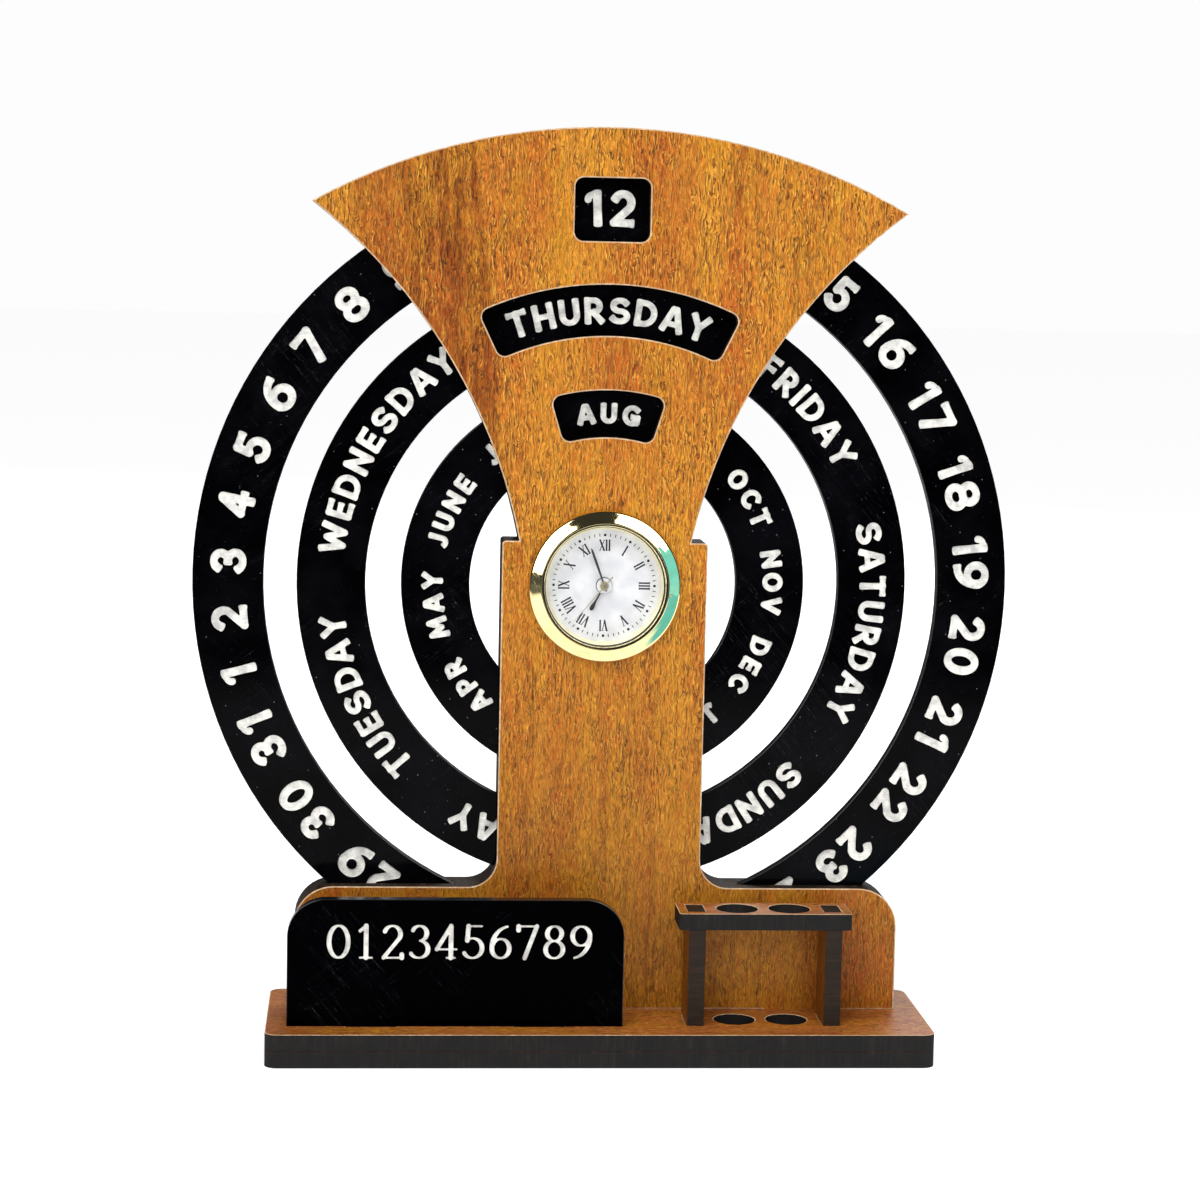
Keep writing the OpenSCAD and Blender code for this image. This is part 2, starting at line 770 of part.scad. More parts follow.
// A flat contact in front of the cell, a leaf beside its rim and a tail to the circuit board
module battery_contacts() {
    pad = 5;
    color(gold) {
        layer(rear_u, cell_u - 0.02) translate([cell_x, 0]) square(pad, center = true);
        layer(rear_u, cover_lug_u[0] - rest_gap)
            translate([cell_x - leaf_w / 2, leaf_y]) square([leaf_w, leaf_t]);
        layer(rear_u, rear_u + contact_t)
            translate([cell_x - leaf_w / 2, board_y]) square([leaf_w, -board_y]);
    }
}

base_lower();
base_upper();
front_panel();
back_panel();
hub_spacer();
inner_track_upper();
inner_track_lower();
outer_track_upper();
outer_track_lower();
rim_spacer();
foot_spacer();
date_ring();
day_ring();
month_ring();
card_plate();
rack_top();
rack_leg_left();
rack_leg_right();
clock_bezel();
clock_lens();
dial_ring();
clock_dial();
clock_case();
clock_gasket();
movement_plate();
movement_bridge();
hour_hand();
hour_wheel();
minute_hand();
minute_arbor();
second_hand();
second_arbor();
setting_wheel();
setting_knob();
drive_module();
circuit_board();
button_cell();
battery_contacts();
battery_cover();
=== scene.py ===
# %% [markdown]
# # A desk calendar clock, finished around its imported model
# The real clock is laser cut from veneered board and black acrylic. Three rings turn between
# the boards to show the date, the weekday and the month, and a small round clock is pushed
# into the middle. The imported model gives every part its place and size, so it is loaded
# first. This script then adds the edges, the engraved figures and the finishes.

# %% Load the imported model
import bmesh
import bpy
import math
import numpy as np
from functools import partial
from mathutils import Matrix, Vector
from mathutils.geometry import delaunay_2d_cdt


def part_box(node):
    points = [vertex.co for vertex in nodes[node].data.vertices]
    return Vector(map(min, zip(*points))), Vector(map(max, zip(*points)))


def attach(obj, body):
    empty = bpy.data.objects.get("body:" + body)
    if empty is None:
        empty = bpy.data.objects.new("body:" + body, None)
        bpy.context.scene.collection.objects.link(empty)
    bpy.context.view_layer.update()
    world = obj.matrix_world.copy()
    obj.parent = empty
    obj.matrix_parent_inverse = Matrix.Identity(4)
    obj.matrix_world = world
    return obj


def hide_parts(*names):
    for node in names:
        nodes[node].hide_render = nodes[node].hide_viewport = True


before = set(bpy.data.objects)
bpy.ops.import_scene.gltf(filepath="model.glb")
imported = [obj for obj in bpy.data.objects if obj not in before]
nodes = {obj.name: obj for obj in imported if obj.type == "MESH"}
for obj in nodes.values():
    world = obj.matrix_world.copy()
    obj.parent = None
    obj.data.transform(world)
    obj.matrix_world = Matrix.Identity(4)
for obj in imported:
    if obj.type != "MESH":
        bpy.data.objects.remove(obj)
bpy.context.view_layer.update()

# %% [markdown]
# Blender measures in metres, and this clock is easier to read in millimetres. So every size
# below is in millimetres and is scaled once, when a mesh is made. The bezel's own box gives
# the middle of the clock, which is the axle of all three rings.

# %% Millimetres and the middle of the clock
MM = 0.001
bezel_low, bezel_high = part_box("clock_bezel")
HUB_X = (bezel_low.x + bezel_high.x) / 2 / MM
HUB_Z = (bezel_low.z + bezel_high.z) / 2 / MM
FRONT_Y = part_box("front_panel")[0].y / MM
centre = Vector((0, 0, HUB_Z * MM))
print(f"clock centre x {HUB_X:.2f} z {HUB_Z:.2f}, front board at y {FRONT_Y:.2f}")

# %% [markdown]
# ## Camera
# The camera was worked back from about sixty points of the photograph's outline. It stands
# a little to the left and above the clock, tilted by about one degree. A matrix of its three
# own directions says this more exactly than three turns would.

# %% Camera at the photograph's angle
LENS, FILM_WIDTH = 86.04, 36
STAND_POINT = Vector((-56.6, -677.5, 184.6))
yaw, pitch, roll = (math.radians(angle) for angle in (4.67, -6.40, 1.25))
ahead = Vector((math.sin(yaw) * math.cos(pitch), math.cos(yaw) * math.cos(pitch), math.sin(pitch)))
level = Vector((math.cos(yaw), -math.sin(yaw), 0))
rise = level.cross(ahead)
cam_right = math.cos(roll) * level + math.sin(roll) * rise
cam_up = -math.sin(roll) * level + math.cos(roll) * rise
cam_data = bpy.data.cameras.new("photo_camera")
cam_data.lens = LENS
cam_data.sensor_width = FILM_WIDTH
cam_data.clip_start = 0.01
cam_data.clip_end = 100
scene = bpy.context.scene
camera = bpy.data.objects.new("photo_camera", cam_data)
scene.collection.objects.link(camera)
turn = Matrix((cam_right, cam_up, -ahead)).transposed().to_4x4()
camera.matrix_world = Matrix.Translation(STAND_POINT * MM) @ turn
scene.camera = camera
print("camera stands", round((camera.location - centre).length, 3), "m away")

# %% [markdown]
# ## Writing node trees in one line each
# A graph made by hand in code is mostly bookkeeping. This helper adds one node and feeds its
# sockets in the same call: an output becomes a link, and any other value is set on the socket.
# An output knows its own tree, so a node that it feeds needs no word about where it belongs.

# %% Node helper
SOCKET = bpy.types.NodeSocket


def srgb(red, green, blue):
    """A screen colour, 0 to 255, as the linear colour that shaders use."""
    parts = []
    for value in (red, green, blue):
        share = value / 255
        parts.append(share / 12.92 if share <= 0.04045 else ((share + 0.055) / 1.055) ** 2.4)
    return (*parts, 1.0)


def add(kind, feeds=None, tree=None, **settings):
    """Add a node, feed its inputs with values or outputs, and give its own outputs."""
    feeds = feeds or {}
    if tree is None:
        tree = next(value.id_data for value in feeds.values() if isinstance(value, SOCKET))
    made = tree.nodes.new("ShaderNode" + kind)
    for name, value in settings.items():
        setattr(made, name, value)
    for name, value in feeds.items():
        if isinstance(value, SOCKET):
            tree.links.new(value, made.inputs[name])
        else:
            made.inputs[name].default_value = value
    return made.outputs


print("amber reads as", [round(part, 3) for part in srgb(199, 129, 44)])

# %% [markdown]
# Sums, ranges, colour mixes and noise do most of the work. Each gets a short name here, so
# that a finish further down reads like a recipe.

# %% Sums, ranges, mixes and noise
def maths(operation, *values):
    """A Math node, given as its output."""
    return add("Math", dict(enumerate(values)), operation=operation)[0]


plus, minus, times = partial(maths, "ADD"), partial(maths, "SUBTRACT"), partial(maths, "MULTIPLY")
larger, below = partial(maths, "MAXIMUM"), partial(maths, "LESS_THAN")


def gap_to(value, middle=0.5):
    """How far a value is from a middle."""
    return maths("ABSOLUTE", minus(value, middle))


def spread(value, low, high, to_low=0.0, to_high=1.0):
    """Map low..high to to_low..to_high, and stop at the ends."""
    feeds = {"Value": value, "From Min": low, "From Max": high, "To Min": to_low, "To Max": to_high}
    return add("MapRange", feeds, clamp=True)[0]


def mix(share, first, second, mode="MIX"):
    """Mix two colours."""
    feeds = {0: share, 6: first, 7: second}
    return add("Mix", feeds, data_type="RGBA", blend_type=mode)[2]


def in_mm(spot):
    """A place in metres as a place in millimetres."""
    return add("VectorMath", {0: spot, 1: (1 / MM, 1 / MM, 1 / MM)}, operation="MULTIPLY")[0]


def stretched(spot, scale, shift=(0, 0, 0)):
    """Stretch a place by three factors."""
    return add("Mapping", {"Vector": spot, "Scale": scale, "Location": shift})[0]


def noise(spot, scale=1.0, detail=2.0, rough=0.5):
    """A Noise Texture, given as its value output."""
    feeds = {"Vector": spot, "Scale": scale, "Detail": detail, "Roughness": rough}
    return add("TexNoise", feeds)["Fac"]


def mix_shaders(share, first, second):
    """A share of the first shader gives way to the second."""
    return add("MixShader", {0: share, 1: first, 2: second})[0]


def blank(owner):
    """The emptied node tree of a material or a world."""
    owner.use_nodes = True
    owner.node_tree.nodes.clear()
    return owner.node_tree


print("short names for nodes:", *(made.__name__ for made in (maths, spread, mix, stretched, noise)))

# %% [markdown]
# ## Floor and light
# The photograph has a bright pale ground and almost no shadow, so a very wide sun gives an
# even light. Two softboxes beside the camera give the two white arcs on the bezel, with a
# dark gap at the top. Polished black acrylic shows whatever faces it, so in reflections the
# room and the far floor are kept dim. The right side of the bezel shines blue green. A small
# coloured card beside the clock gives the upper part of that, and an oval sheet on the
# floor, which shows only in reflections, gives the lower part.

# %% Dim room
scene.view_settings.view_transform = "Standard"
world = bpy.data.worlds.new("studio")
scene.world = world
room = blank(world)
ray = add("LightPath", tree=room)
room_light = times(minus(1.0, times(ray["Is Glossy Ray"], 0.78)), 0.16)
dim = add("Background", {"Color": (1, 1, 1, 1), "Strength": room_light})[0]
bright = add("Background", {"Color": (0.98, 0.98, 0.985, 1), "Strength": 1.0}, room)[0]
add("OutputWorld", {"Surface": mix_shaders(ray["Is Camera Ray"], dim, bright)})
print("room nodes:", len(room.nodes))

# %% Pale floor with a cool sheet in its reflection
FLOOR_RADIUS = 12
COOL = (0.16, 0.70, 1.0, 1)
floor_mesh = bpy.data.meshes.new("floor")
ground = bmesh.new()
bmesh.ops.create_circle(ground, cap_ends=True, segments=96, radius=FLOOR_RADIUS)
ground.to_mesh(floor_mesh)
ground.free()
floor = bpy.data.objects.new("floor", floor_mesh)
scene.collection.objects.link(floor)
floor_look = bpy.data.materials.new("pale_floor")
tree = blank(floor_look)
where = add("NewGeometry", tree=tree)["Position"]
mirror_ray = add("LightPath", tree=tree)["Is Glossy Ray"]
paint = add("BsdfPrincipled", {"Base Color": (0.87, 0.87, 0.875, 1), "Roughness": 0.9,
                               "Emission Color": (1, 1, 1, 1), "Emission Strength": 0.32}, tree)[0]
dark = add("BsdfDiffuse", {"Color": (0.05, 0.05, 0.05, 1)}, tree)[0]
from_clock = add("VectorMath", {0: where}, operation="LENGTH")["Value"]
near = spread(from_clock, 0.54, 0.66, 1.0, 0.04)
floor_mix = mix_shaders(times(mirror_ray, minus(1.0, near)), paint, dark)
sheet = {"Vector": where, "Location": (0.2823, -0.3148, 0), "Scale": (0.2837, 0.06, 1),
         "Rotation": (0, 0, math.radians(-43.2))}
on_sheet = add("Mapping", sheet, vector_type="TEXTURE")[0]
from_middle = add("VectorMath", {0: on_sheet}, operation="LENGTH")["Value"]
sheet_share = times(mirror_ray, spread(from_middle, 0.93, 1.03, 1.0, 0.0))
cool_sheet = add("Emission", {"Color": COOL, "Strength": 0.95}, tree)[0]
add("OutputMaterial", {"Surface": mix_shaders(sheet_share, floor_mix, cool_sheet)})
floor_mesh.materials.append(floor_look)
print("floor radius", FLOOR_RADIUS, "m, nodes", len(tree.nodes))

# %% Sun and softboxes
def place_light(name, kind, power, place, target):
    """A light that faces a target. Gives the object and its data."""
    data = bpy.data.lights.new(name, kind)
    data.energy = power
    lamp = bpy.data.objects.new(name, data)
    scene.collection.objects.link(lamp)
    lamp.location = place
    lamp.rotation_mode = "QUATERNION"
    lamp.rotation_quaternion = (target - place).to_track_quat("-Z", "Y")
    print(f"{name}: power {power}")
    return lamp, data


def softbox(name, across, above, distance, size, power, colour=(1, 1, 1)):
    """A flat light, placed by two angles in degrees as seen from the clock."""
    across, above = math.radians(across), math.radians(above)
    flat = math.cos(above)
    side = Vector((math.sin(across) * flat, -math.cos(across) * flat, math.sin(above)))
    lamp, data = place_light(name, "AREA", power, centre + side * distance, centre)
    data.shape = "RECTANGLE"
    data.size, data.size_y = size
    data.color = colour
    lamp.visible_camera = False
    return lamp


sun, sun_data = place_light("wide_sun", "SUN", 2.32, Vector((-0.45, -0.9, 1.9)), Vector((0, 0, 0)))
sun_data.angle = math.radians(42)
sun.visible_glossy = False
softbox("softbox_left", across=-27.5, above=17.5, distance=1.2, size=(0.42, 0.71), power=3.57)
softbox("softbox_right", across=27, above=25.5, distance=1.2, size=(0.52, 0.53), power=3.53)
card = softbox("cool_card", across=46, above=4.3, distance=0.32, size=(0.136, 0.157),
               power=0.0753, colour=COOL[:3])
card.visible_diffuse = False
softbox("rear_fill", across=160, above=35, distance=1.4, size=(0.9, 0.9), power=12.0)

# %% [markdown]
# ## Finishes that several materials share
# Grain, charring, dust and scratches turn up on more than one part. Each is a node group,
# built once, and a material places it with values of its own. The groups give out colours
# and values, and the shader stays in the material.

# %% Group helpers
SOCKET_KIND = {1: "NodeSocketFloat", 3: "NodeSocketVector", 4: "NodeSocketColor"}


def open_group(name, inputs):
    """Start a group. Gives its inputs, and the place on the part in millimetres."""
    tree = bpy.data.node_groups.new(name, "ShaderNodeTree")
    for label, value in {"Spot": (0.0, 0.0, 0.0), **inputs}.items():
        kind = SOCKET_KIND[len(value) if isinstance(value, tuple) else 1]
        tree.interface.new_socket(label, in_out="INPUT", socket_type=kind).default_value = value
    given = tree.nodes.new("NodeGroupInput").outputs
    return given, in_mm(given["Spot"])


def end_group(outputs):
    """Give the group its outputs, and close it."""
    tree = next(iter(outputs.values())).id_data
    for label in outputs:
        kind = SOCKET_KIND[4 if label == "Color" else 1]
        tree.interface.new_socket(label, in_out="OUTPUT", socket_type=kind)
    leave = tree.nodes.new("NodeGroupOutput")
    for label, value in outputs.items():
        tree.links.new(value, leave.inputs[label])
    print(tree.name, "nodes:", len(tree.nodes))
    return tree


# %% [markdown]
# ### Veneer
# The boards are faced with an orange brown veneer whose pores are short, wavy dark dashes
# a few millimetres long. Noise that is stretched along the grain gives it on every board at
# the right size, where an image would suit one side only. One noise bends the others
# sideways, so that the dashes wander as fibres do. The finest strokes follow a contour of
# one more noise. A pale copy, moved a quarter of a millimetre, is a painted highlight on one
# side of them, so that they read as small grooves.

# %% Veneer group: the ground colour
def streaked(spot, across, along, detail=2.0, rough=0.5, shift=(0, 0, 0)):
    """Noise stretched along the grain, which runs up the z axis."""
    return noise(stretched(spot, (across, across, along), shift), 1.0, detail, rough)


given, spot_mm = open_group("veneer_grain", {
    "Gold": srgb(214, 144, 50), "Orange": srgb(188, 108, 36), "Pore": srgb(88, 38, 10),
    "Smoke": 0.0, "Blush": 0.0})
bend_by = times(minus(streaked(spot_mm, 0.34, 0.17), 0.5), 3.4)
bend = add("CombineXYZ", {0: bend_by, 1: bend_by})[0]
grain = add("VectorMath", {0: spot_mm, 1: bend}, operation="ADD")[0]
bands = streaked(grain, 0.11, 0.012, 3.0, 0.55, (5, 0, 9))
patches = streaked(spot_mm, 0.022, 0.014, shift=(2, 4, 0))
tone = plus(times(bands, 0.55), times(patches, 0.45))
colour = mix(spread(tone, 0.42, 0.58), given["Gold"], given["Orange"])
clouds = streaked(grain, 0.14, 0.05, shift=(7, 1, 4))
colour = mix(spread(clouds, 0.50, 0.64, 0.0, 0.45), colour, srgb(182, 124, 14))
print("veneer ground colour made")

# %% Veneer group: pores, glints, veins and fine strokes
dashes = streaked(grain, 1.9, 0.34, 3.0, 0.55)
glints = streaked(grain, 2.3, 0.46, shift=(31, 7, 3))
reds = streaked(grain, 1.3, 0.22, shift=(3, 17, 40))
lines = streaked(grain, 0.10, 0.009, 2.0, 0.6, (11, 3, 1))
# The figure is calmer where the painted shade is laid.
calm = spread(given["Smoke"], 0.0, 0.5, 1.0, 0.62)
patchy = spread(streaked(grain, 0.10, 0.045, shift=(1, 8, 2)), 0.38, 0.60, 0.60, 1.0)
figured = times(calm, patchy)
colour = mix(times(figured, spread(dashes, 0.50, 0.38, 0.0, 0.66)), colour, given["Pore"])
colour = mix(times(figured, spread(glints, 0.54, 0.66, 0.0, 0.62)), colour, srgb(226, 164, 58))
colour = mix(spread(reds, 0.53, 0.68, 0.0, 0.45), colour, srgb(184, 78, 26))
colour = mix(spread(gap_to(lines), 0.012, 0.0, 0.0, 0.45), colour, given["Pore"])
broken = times(figured, spread(dashes, 0.62, 0.50))
# The first pass, pale and moved sideways, is a painted highlight on one side of each stroke. The second
# is the dark stroke itself.
for shift, tint, most in ((0.24, srgb(232, 172, 70), 0.62), (0.0, given["Pore"], 0.88)):
    contour = streaked(grain, 1.0, 0.105, shift=(21 + shift, 5, 8))
    stroke_share = times(broken, spread(gap_to(contour), 0.044, 0.014, 0.0, most))
    colour = mix(stroke_share, colour, tint)
print("veneer figure made")

# %% Veneer group: fibres, blush and painted shade
fibres = streaked(grain, 3.3, 0.46, 2.0, 0.6)
fibre_tone = spread(fibres, 0.32, 0.68, 0.62, 1.30)
fibre_colour = add("CombineColor", {0: fibre_tone, 1: fibre_tone, 2: fibre_tone})[0]
colour = mix(1.0, colour, fibre_colour, "MULTIPLY")
streaks = streaked(grain, 0.55, 0.05, 3.0, 0.6, (9, 2, 6))
blush = times(given["Blush"], spread(streaks, 0.36, 0.62, 0.15, 1.0))
colour = mix(blush, colour, (0.43, 0.27, 0.18, 1), "MULTIPLY")
# Painted shade: darker and browner where the shade input is high.
colour = mix(given["Smoke"], colour, (0.28, 0.17, 0.14, 1), "MULTIPLY")
veneer = end_group({"Color": colour, "Height": plus(times(dashes, 0.7), times(fibres, 0.3)),
                    "Roughness": spread(dashes, 0.3, 0.7, 0.52, 0.36)})

# %% [markdown]
# ### Charred cut edge
# A laser burns its way through the board and leaves a near black wall with fine lines that
# run the way the beam ran. Stretched noise does it again. The stretch is given from outside,
# because the beam ran a different way through each board.

# %% Charred edge group
given, spot_mm = open_group("charred_edge", {
    "Stretch": (1.6, 0.12, 1.6), "Soot": srgb(22, 19, 18), "Scorch": srgb(74, 56, 42)})
beam = add("VectorMath", {0: spot_mm, 1: given["Stretch"]}, operation="MULTIPLY")[0]
kerf = noise(beam, 1.0, 3.0, 0.6)
soot = noise(spot_mm, 0.16, 3.0, 0.6)
crumbs = noise(spot_mm, 3.0, 2.0, 0.6)
scorched = times(spread(kerf, 0.42, 0.72), spread(soot, 0.35, 0.65, 0.25, 1.0))
char = end_group({"Color": mix(scorched, given["Soot"], given["Scorch"]),
                  "Height": plus(kerf, times(crumbs, 0.4)),
                  "Roughness": spread(kerf, 0.3, 0.7, 0.62, 0.86)})

# %% [markdown]
# ### Dust and hairline scratches
# Black acrylic is never clean, and its pale specks and faint hairlines tell the eye that it
# is polished. Specks are the middles of Voronoi cells, kept only in some cells. Hairlines
# are thin bands of a long stretched noise.

# %% Dust and hairline groups
given, spot_mm = open_group("dust_specks", {"Spacing": 0.45, "Amount": 0.5})
cells = add("TexVoronoi", {"Vector": spot_mm, "Scale": given["Spacing"]})
pick = add("SeparateColor", {0: cells["Color"]})
kept = below(pick[0], given["Amount"])
core = below(cells["Distance"], spread(pick[1], 0.0, 1.0, 0.015, 0.06))
dust = end_group({"Mask": times(kept, core),
                  "Haze": spread(noise(spot_mm, 0.07, 3.0, 0.6), 0.4, 0.7)})

given, spot_mm = open_group("hairlines", {"Angle": 0.6, "Width": 0.006})
spin = {"Vector": spot_mm, "Angle": given["Angle"]}
spun = add("VectorRotate", spin, rotation_type="Y_AXIS")[0]
thin = below(gap_to(noise(stretched(spun, (0.9, 0.5, 0.02)), 1.0, 2.0, 0.7)), given["Width"])
hairline = end_group({"Mask": times(thin, spread(noise(spun, 0.05), 0.52, 0.62))})

# %% [markdown]
# ### Moulded and turned surfaces
# Moulded plastic and rubber carry a fine spark-eroded texture. Turned brass and steel carry
# rings about the axle, so the second group measures the distance from the clock's axle and
# lets a wave run along it.

# %% Moulded and turned groups
given, spot_mm = open_group("moulded_grain", {"Fineness": 6.0})
moulded = end_group({"Height": noise(spot_mm, given["Fineness"], 3.0, 0.6),
                     "Tone": spread(noise(spot_mm, 0.25), 0.35, 0.65)})

given, spot_mm = open_group("turned_rings", {"Pitch": 9.0})
parts = add("SeparateXYZ", {0: spot_mm})
out_x = minus(parts[0], HUB_X)
out_z = minus(parts[2], HUB_Z)
radius = maths("SQRT", plus(times(out_x, out_x), times(out_z, out_z)))
ripple = maths("SINE", times(radius, given["Pitch"]))
turned = end_group({"Height": plus(times(ripple, 0.3), noise(spot_mm, 1.8, 3.0, 0.6)),
                    "Stain": spread(noise(spot_mm, 0.5, 3.0, 0.6), 0.4, 0.7), "Radius": radius})

# %% [markdown]
# ## Materials
# Each material feeds one Principled shader from the shared groups. Object coordinates are
# used throughout, because they stay with a part when a ring turns or the clock is pulled out.

# %% Material helpers
FINISH = {}


def new_finish(name):
    """Start a finish. Gives its object coordinates as a place."""
    FINISH[name] = bpy.data.materials.new(name)
    print("finish", name)
    return add("TexCoord", tree=blank(FINISH[name]))["Object"]


def use(group, spot, **values):
    """Place a shared group in a material and give its outputs."""
    return add("Group", {"Spot": spot, **values}, node_tree=group)


def bumped(height, depth, strength=0.5):
    """A Bump node's normal, with its depth in millimetres."""
    return add("Bump", {"Height": height, "Distance": depth * MM, "Strength": strength})[0]


def close(colour, rough, normal=None, **others):
    """End a finish in one Principled shader. An underscore stands for a space."""
    feeds = {"Base Color": colour, "Roughness": rough}
    if normal is not None:
        feeds["Normal"] = normal
    feeds.update((name.replace("_", " "), value) for name, value in others.items())
    add("OutputMaterial", {"Surface": add("BsdfPrincipled", feeds)[0]})


# %% [markdown]
# ### Veneered faces
# The grain stands upright on the upright boards and lies lengthwise on the base and the
# rack, by a turn of the coordinates. Towards the table the boards get darker and browner,
# and their figure calmer: this is painted shade, which the group is given from the height.
# The rack's legs take a much darker copy of the veneer, which is painted shade on their
# sides. A darker band with a thin vein beside it leans up the left of the fan, and the
# Blush input lays it there.

# %% Veneer materials
def veneer_finish(name, turn_by, shade_low, shade_high, gold, orange, coat):
    """A veneer. turn_by lays the grain, and painted shade darkens and browns the foot and the top."""
    spot = new_finish(name)
    laid = add("Mapping", {"Vector": spot, "Rotation": turn_by})[0]
    across, _, height = add("SeparateXYZ", {0: spot})
    wander = times(minus(noise(spot, 60.0, 3.0), 0.5), 0.008)
    place = plus(plus(across, times(height, 0.11)), plus(wander, 0.0188))
    band = times(spread(place, -0.022, -0.004, 0.30, 1.0), spread(place, 0.0105, 0.0085))
    vein = spread(gap_to(place, 0.0088), 0.0007, 0.0002, 0.0, 0.8)
    blush = times(larger(band, vein), spread(height, 0.115, 0.150, 0.0, 0.95))
    # Painted shade from the height, darker towards the table.
    painted_shade = spread(height, 0.030, 0.125, shade_low, shade_high)
    out = use(veneer, laid, Smoke=painted_shade, Gold=srgb(*gold), Orange=srgb(*orange), Blush=blush)
    close(out["Color"], out["Roughness"], bumped(out["Height"], 0.16, 0.8),
          Coat_Weight=coat, Coat_Roughness=0.18, Specular_IOR_Level=0.16)


veneer_finish("veneer_upright", (0, 0, 0), 0.40, 0.0, (201, 135, 36), (174, 94, 26), 0.05)
# A much darker copy of the veneer for the rack legs' sides: painted shade.
veneer_finish("veneer_shaded_side", (0, 0, 0.3), 0.45, 0.2, (128, 70, 26), (104, 52, 18), 0.05)
veneer_finish("veneer_flat", (0, math.pi / 2, 0), 0.20, 0.05, (182, 108, 54), (148, 77, 39), 0.35)

# %% Charred edges and a pale rim, which is a painted highlight
def char_finish(name, stretch, soot, scorch, depth=0.12):
    """A charred edge for boards that the beam went through along one axis."""
    spot = new_finish(name)
    out = use(char, spot, Stretch=stretch, Soot=srgb(*soot), Scorch=srgb(*scorch))
    close(out["Color"], out["Roughness"], bumped(out["Height"], depth, 0.6), Specular_IOR_Level=0.15)


EVEN = (0.8, 0.8, 0.8)
char_finish("charred_edge_y", (1.8, 0.10, 1.8), (24, 20, 18), (82, 58, 40))
char_finish("charred_edge_z", (1.8, 1.8, 0.10), (27, 26, 26), (46, 42, 39))
char_finish("charred_edge_x", (0.10, 1.8, 1.8), (38, 30, 24), (58, 46, 37))
# The pale rim is the charred grain in two pale tones: a painted highlight on the slope.
char_finish("pale_rim_highlight", EVEN, (186, 152, 116), (238, 216, 186), 0.03)
char_finish("scorched_rim", EVEN, (48, 32, 24), (110, 74, 50), 0.03)

# %% [markdown]
# ### Black acrylic and frosted engraving
# The rings and the card plate are polished black acrylic, which needs almost no colour of
# its own: the specks and hairlines do the work. The figures are engraved, which leaves a
# rough, grey white floor that shows the passes of the laser.

# %% Acrylic materials
def acrylic_finish(name, specks, haze_tone, shine):
    """Polished black acrylic with dust and hairlines."""
    spot = new_finish(name)
    big = use(dust, spot, Spacing=0.42, Amount=specks)
    small = use(dust, spot, Spacing=1.1, Amount=specks * 0.8)
    first = use(hairline, spot, Angle=0.7, Width=0.0016)
    second = use(hairline, spot, Angle=-0.9, Width=0.0012)
    marks = larger(first["Mask"], second["Mask"])
    dots = larger(big["Mask"], small["Mask"])
    colour = mix(big["Haze"], srgb(1, 1, 2), haze_tone)
    colour = mix(times(marks, 0.20), colour, srgb(96, 98, 104))
    colour = mix(times(dots, 0.40), colour, srgb(150, 152, 160))
    rough = plus(spread(big["Haze"], 0, 1, 0.07, 0.13), times(dots, 0.5))
    close(colour, rough, Specular_IOR_Level=shine)


acrylic_finish("acrylic_polished", 0.75, srgb(7, 7, 10), 0.045)
acrylic_finish("acrylic_plate", 0.10, srgb(1, 1, 2), 0.004)

# %% Cut edge and engraved floor
spot = new_finish("acrylic_cut_edge")
out = use(char, spot, Stretch=(2.4, 0.15, 2.4), Soot=srgb(10, 10, 12), Scorch=srgb(34, 34, 40))
close(out["Color"], 0.24, bumped(out["Height"], 0.03, 0.4), Specular_IOR_Level=0.45)

spot = new_finish("engraved_frost")
spot_mm = in_mm(spot)
passes = noise(stretched(spot_mm, (0.5, 0.5, 7.0)))
frost_tone = plus(times(noise(spot_mm, 0.45, 3.0, 0.6), 0.75), times(passes, 0.25))
frost = mix(spread(frost_tone, 0.36, 0.64), srgb(184, 182, 179), srgb(242, 241, 233))
close(frost, 0.82, bumped(plus(passes, noise(spot_mm, 5.0)), 0.05))

# %% [markdown]
# ## Laser-cut boards
# The imported boards are plain prisms. A real laser-cut board has a veneered face, a charred
# wall, and between them a thin broken edge. So each board is cut again from its own outline.
# The outline is stepped in by a fraction of a millimetre for the face, and the slope between
# the two is that edge. On the front, back and top faces of the outer boards the slope is a
# pale line, a painted highlight of the light that the edge catches; elsewhere it is dark.

# %% Outline of a packed board
PLANE = {0: (1, 2), 1: (0, 2), 2: (0, 1)}
WELD = 2e-6
MITRE_LIMIT = 0.35


def pairs(loop):
    """Each item of a closed loop with the one after it."""
    loop = list(loop)
    return zip(loop, loop[1:] + loop[:1])


def rings_of(after):
    """Closed rings, from a table of what comes after what."""
    rings = []
    while after:
        start, here = after.popitem()
        rings.append([start])
        while here != start:
            rings[-1].append(here)
            here = after.pop(here)
    return rings


def signed_area(loop):
    """Area of a closed loop of points, positive when it runs anticlockwise."""
    return sum(ax * by - bx * ay for (ax, ay), (bx, by) in pairs(loop)) / 2


def outline_of(node, axis):
    """The outlines of a packed sheet's low face, and its two levels, in millimetres."""
    work = bmesh.new()
    work.from_mesh(nodes[node].data)
    bmesh.ops.remove_doubles(work, verts=work.verts, dist=WELD)
    low = min(v.co[axis] for v in work.verts)
    high = max(v.co[axis] for v in work.verts)
    skin = set(f for f in work.faces if all(v.co[axis] < low + 1e-6 for v in f.verts))
    after = {}
    for face in skin:
        for corner in face.loops:
            if sum(1 for other in corner.edge.link_faces if other in skin) == 1:
                after[corner.vert.index] = corner.link_loop_next.vert.index
    u, v = PLANE[axis]
    spots = [(vert.co[u] / MM, vert.co[v] / MM) for vert in work.verts]
    loops = [[spots[i] for i in ring] for ring in rings_of(after)]
    work.free()
    loops.sort(key=lambda loop: -abs(signed_area(loop)))
    for number, loop in enumerate(loops):
        if (signed_area(loop) > 0) != (number == 0):
            loop.reverse()
    return loops, low / MM, high / MM


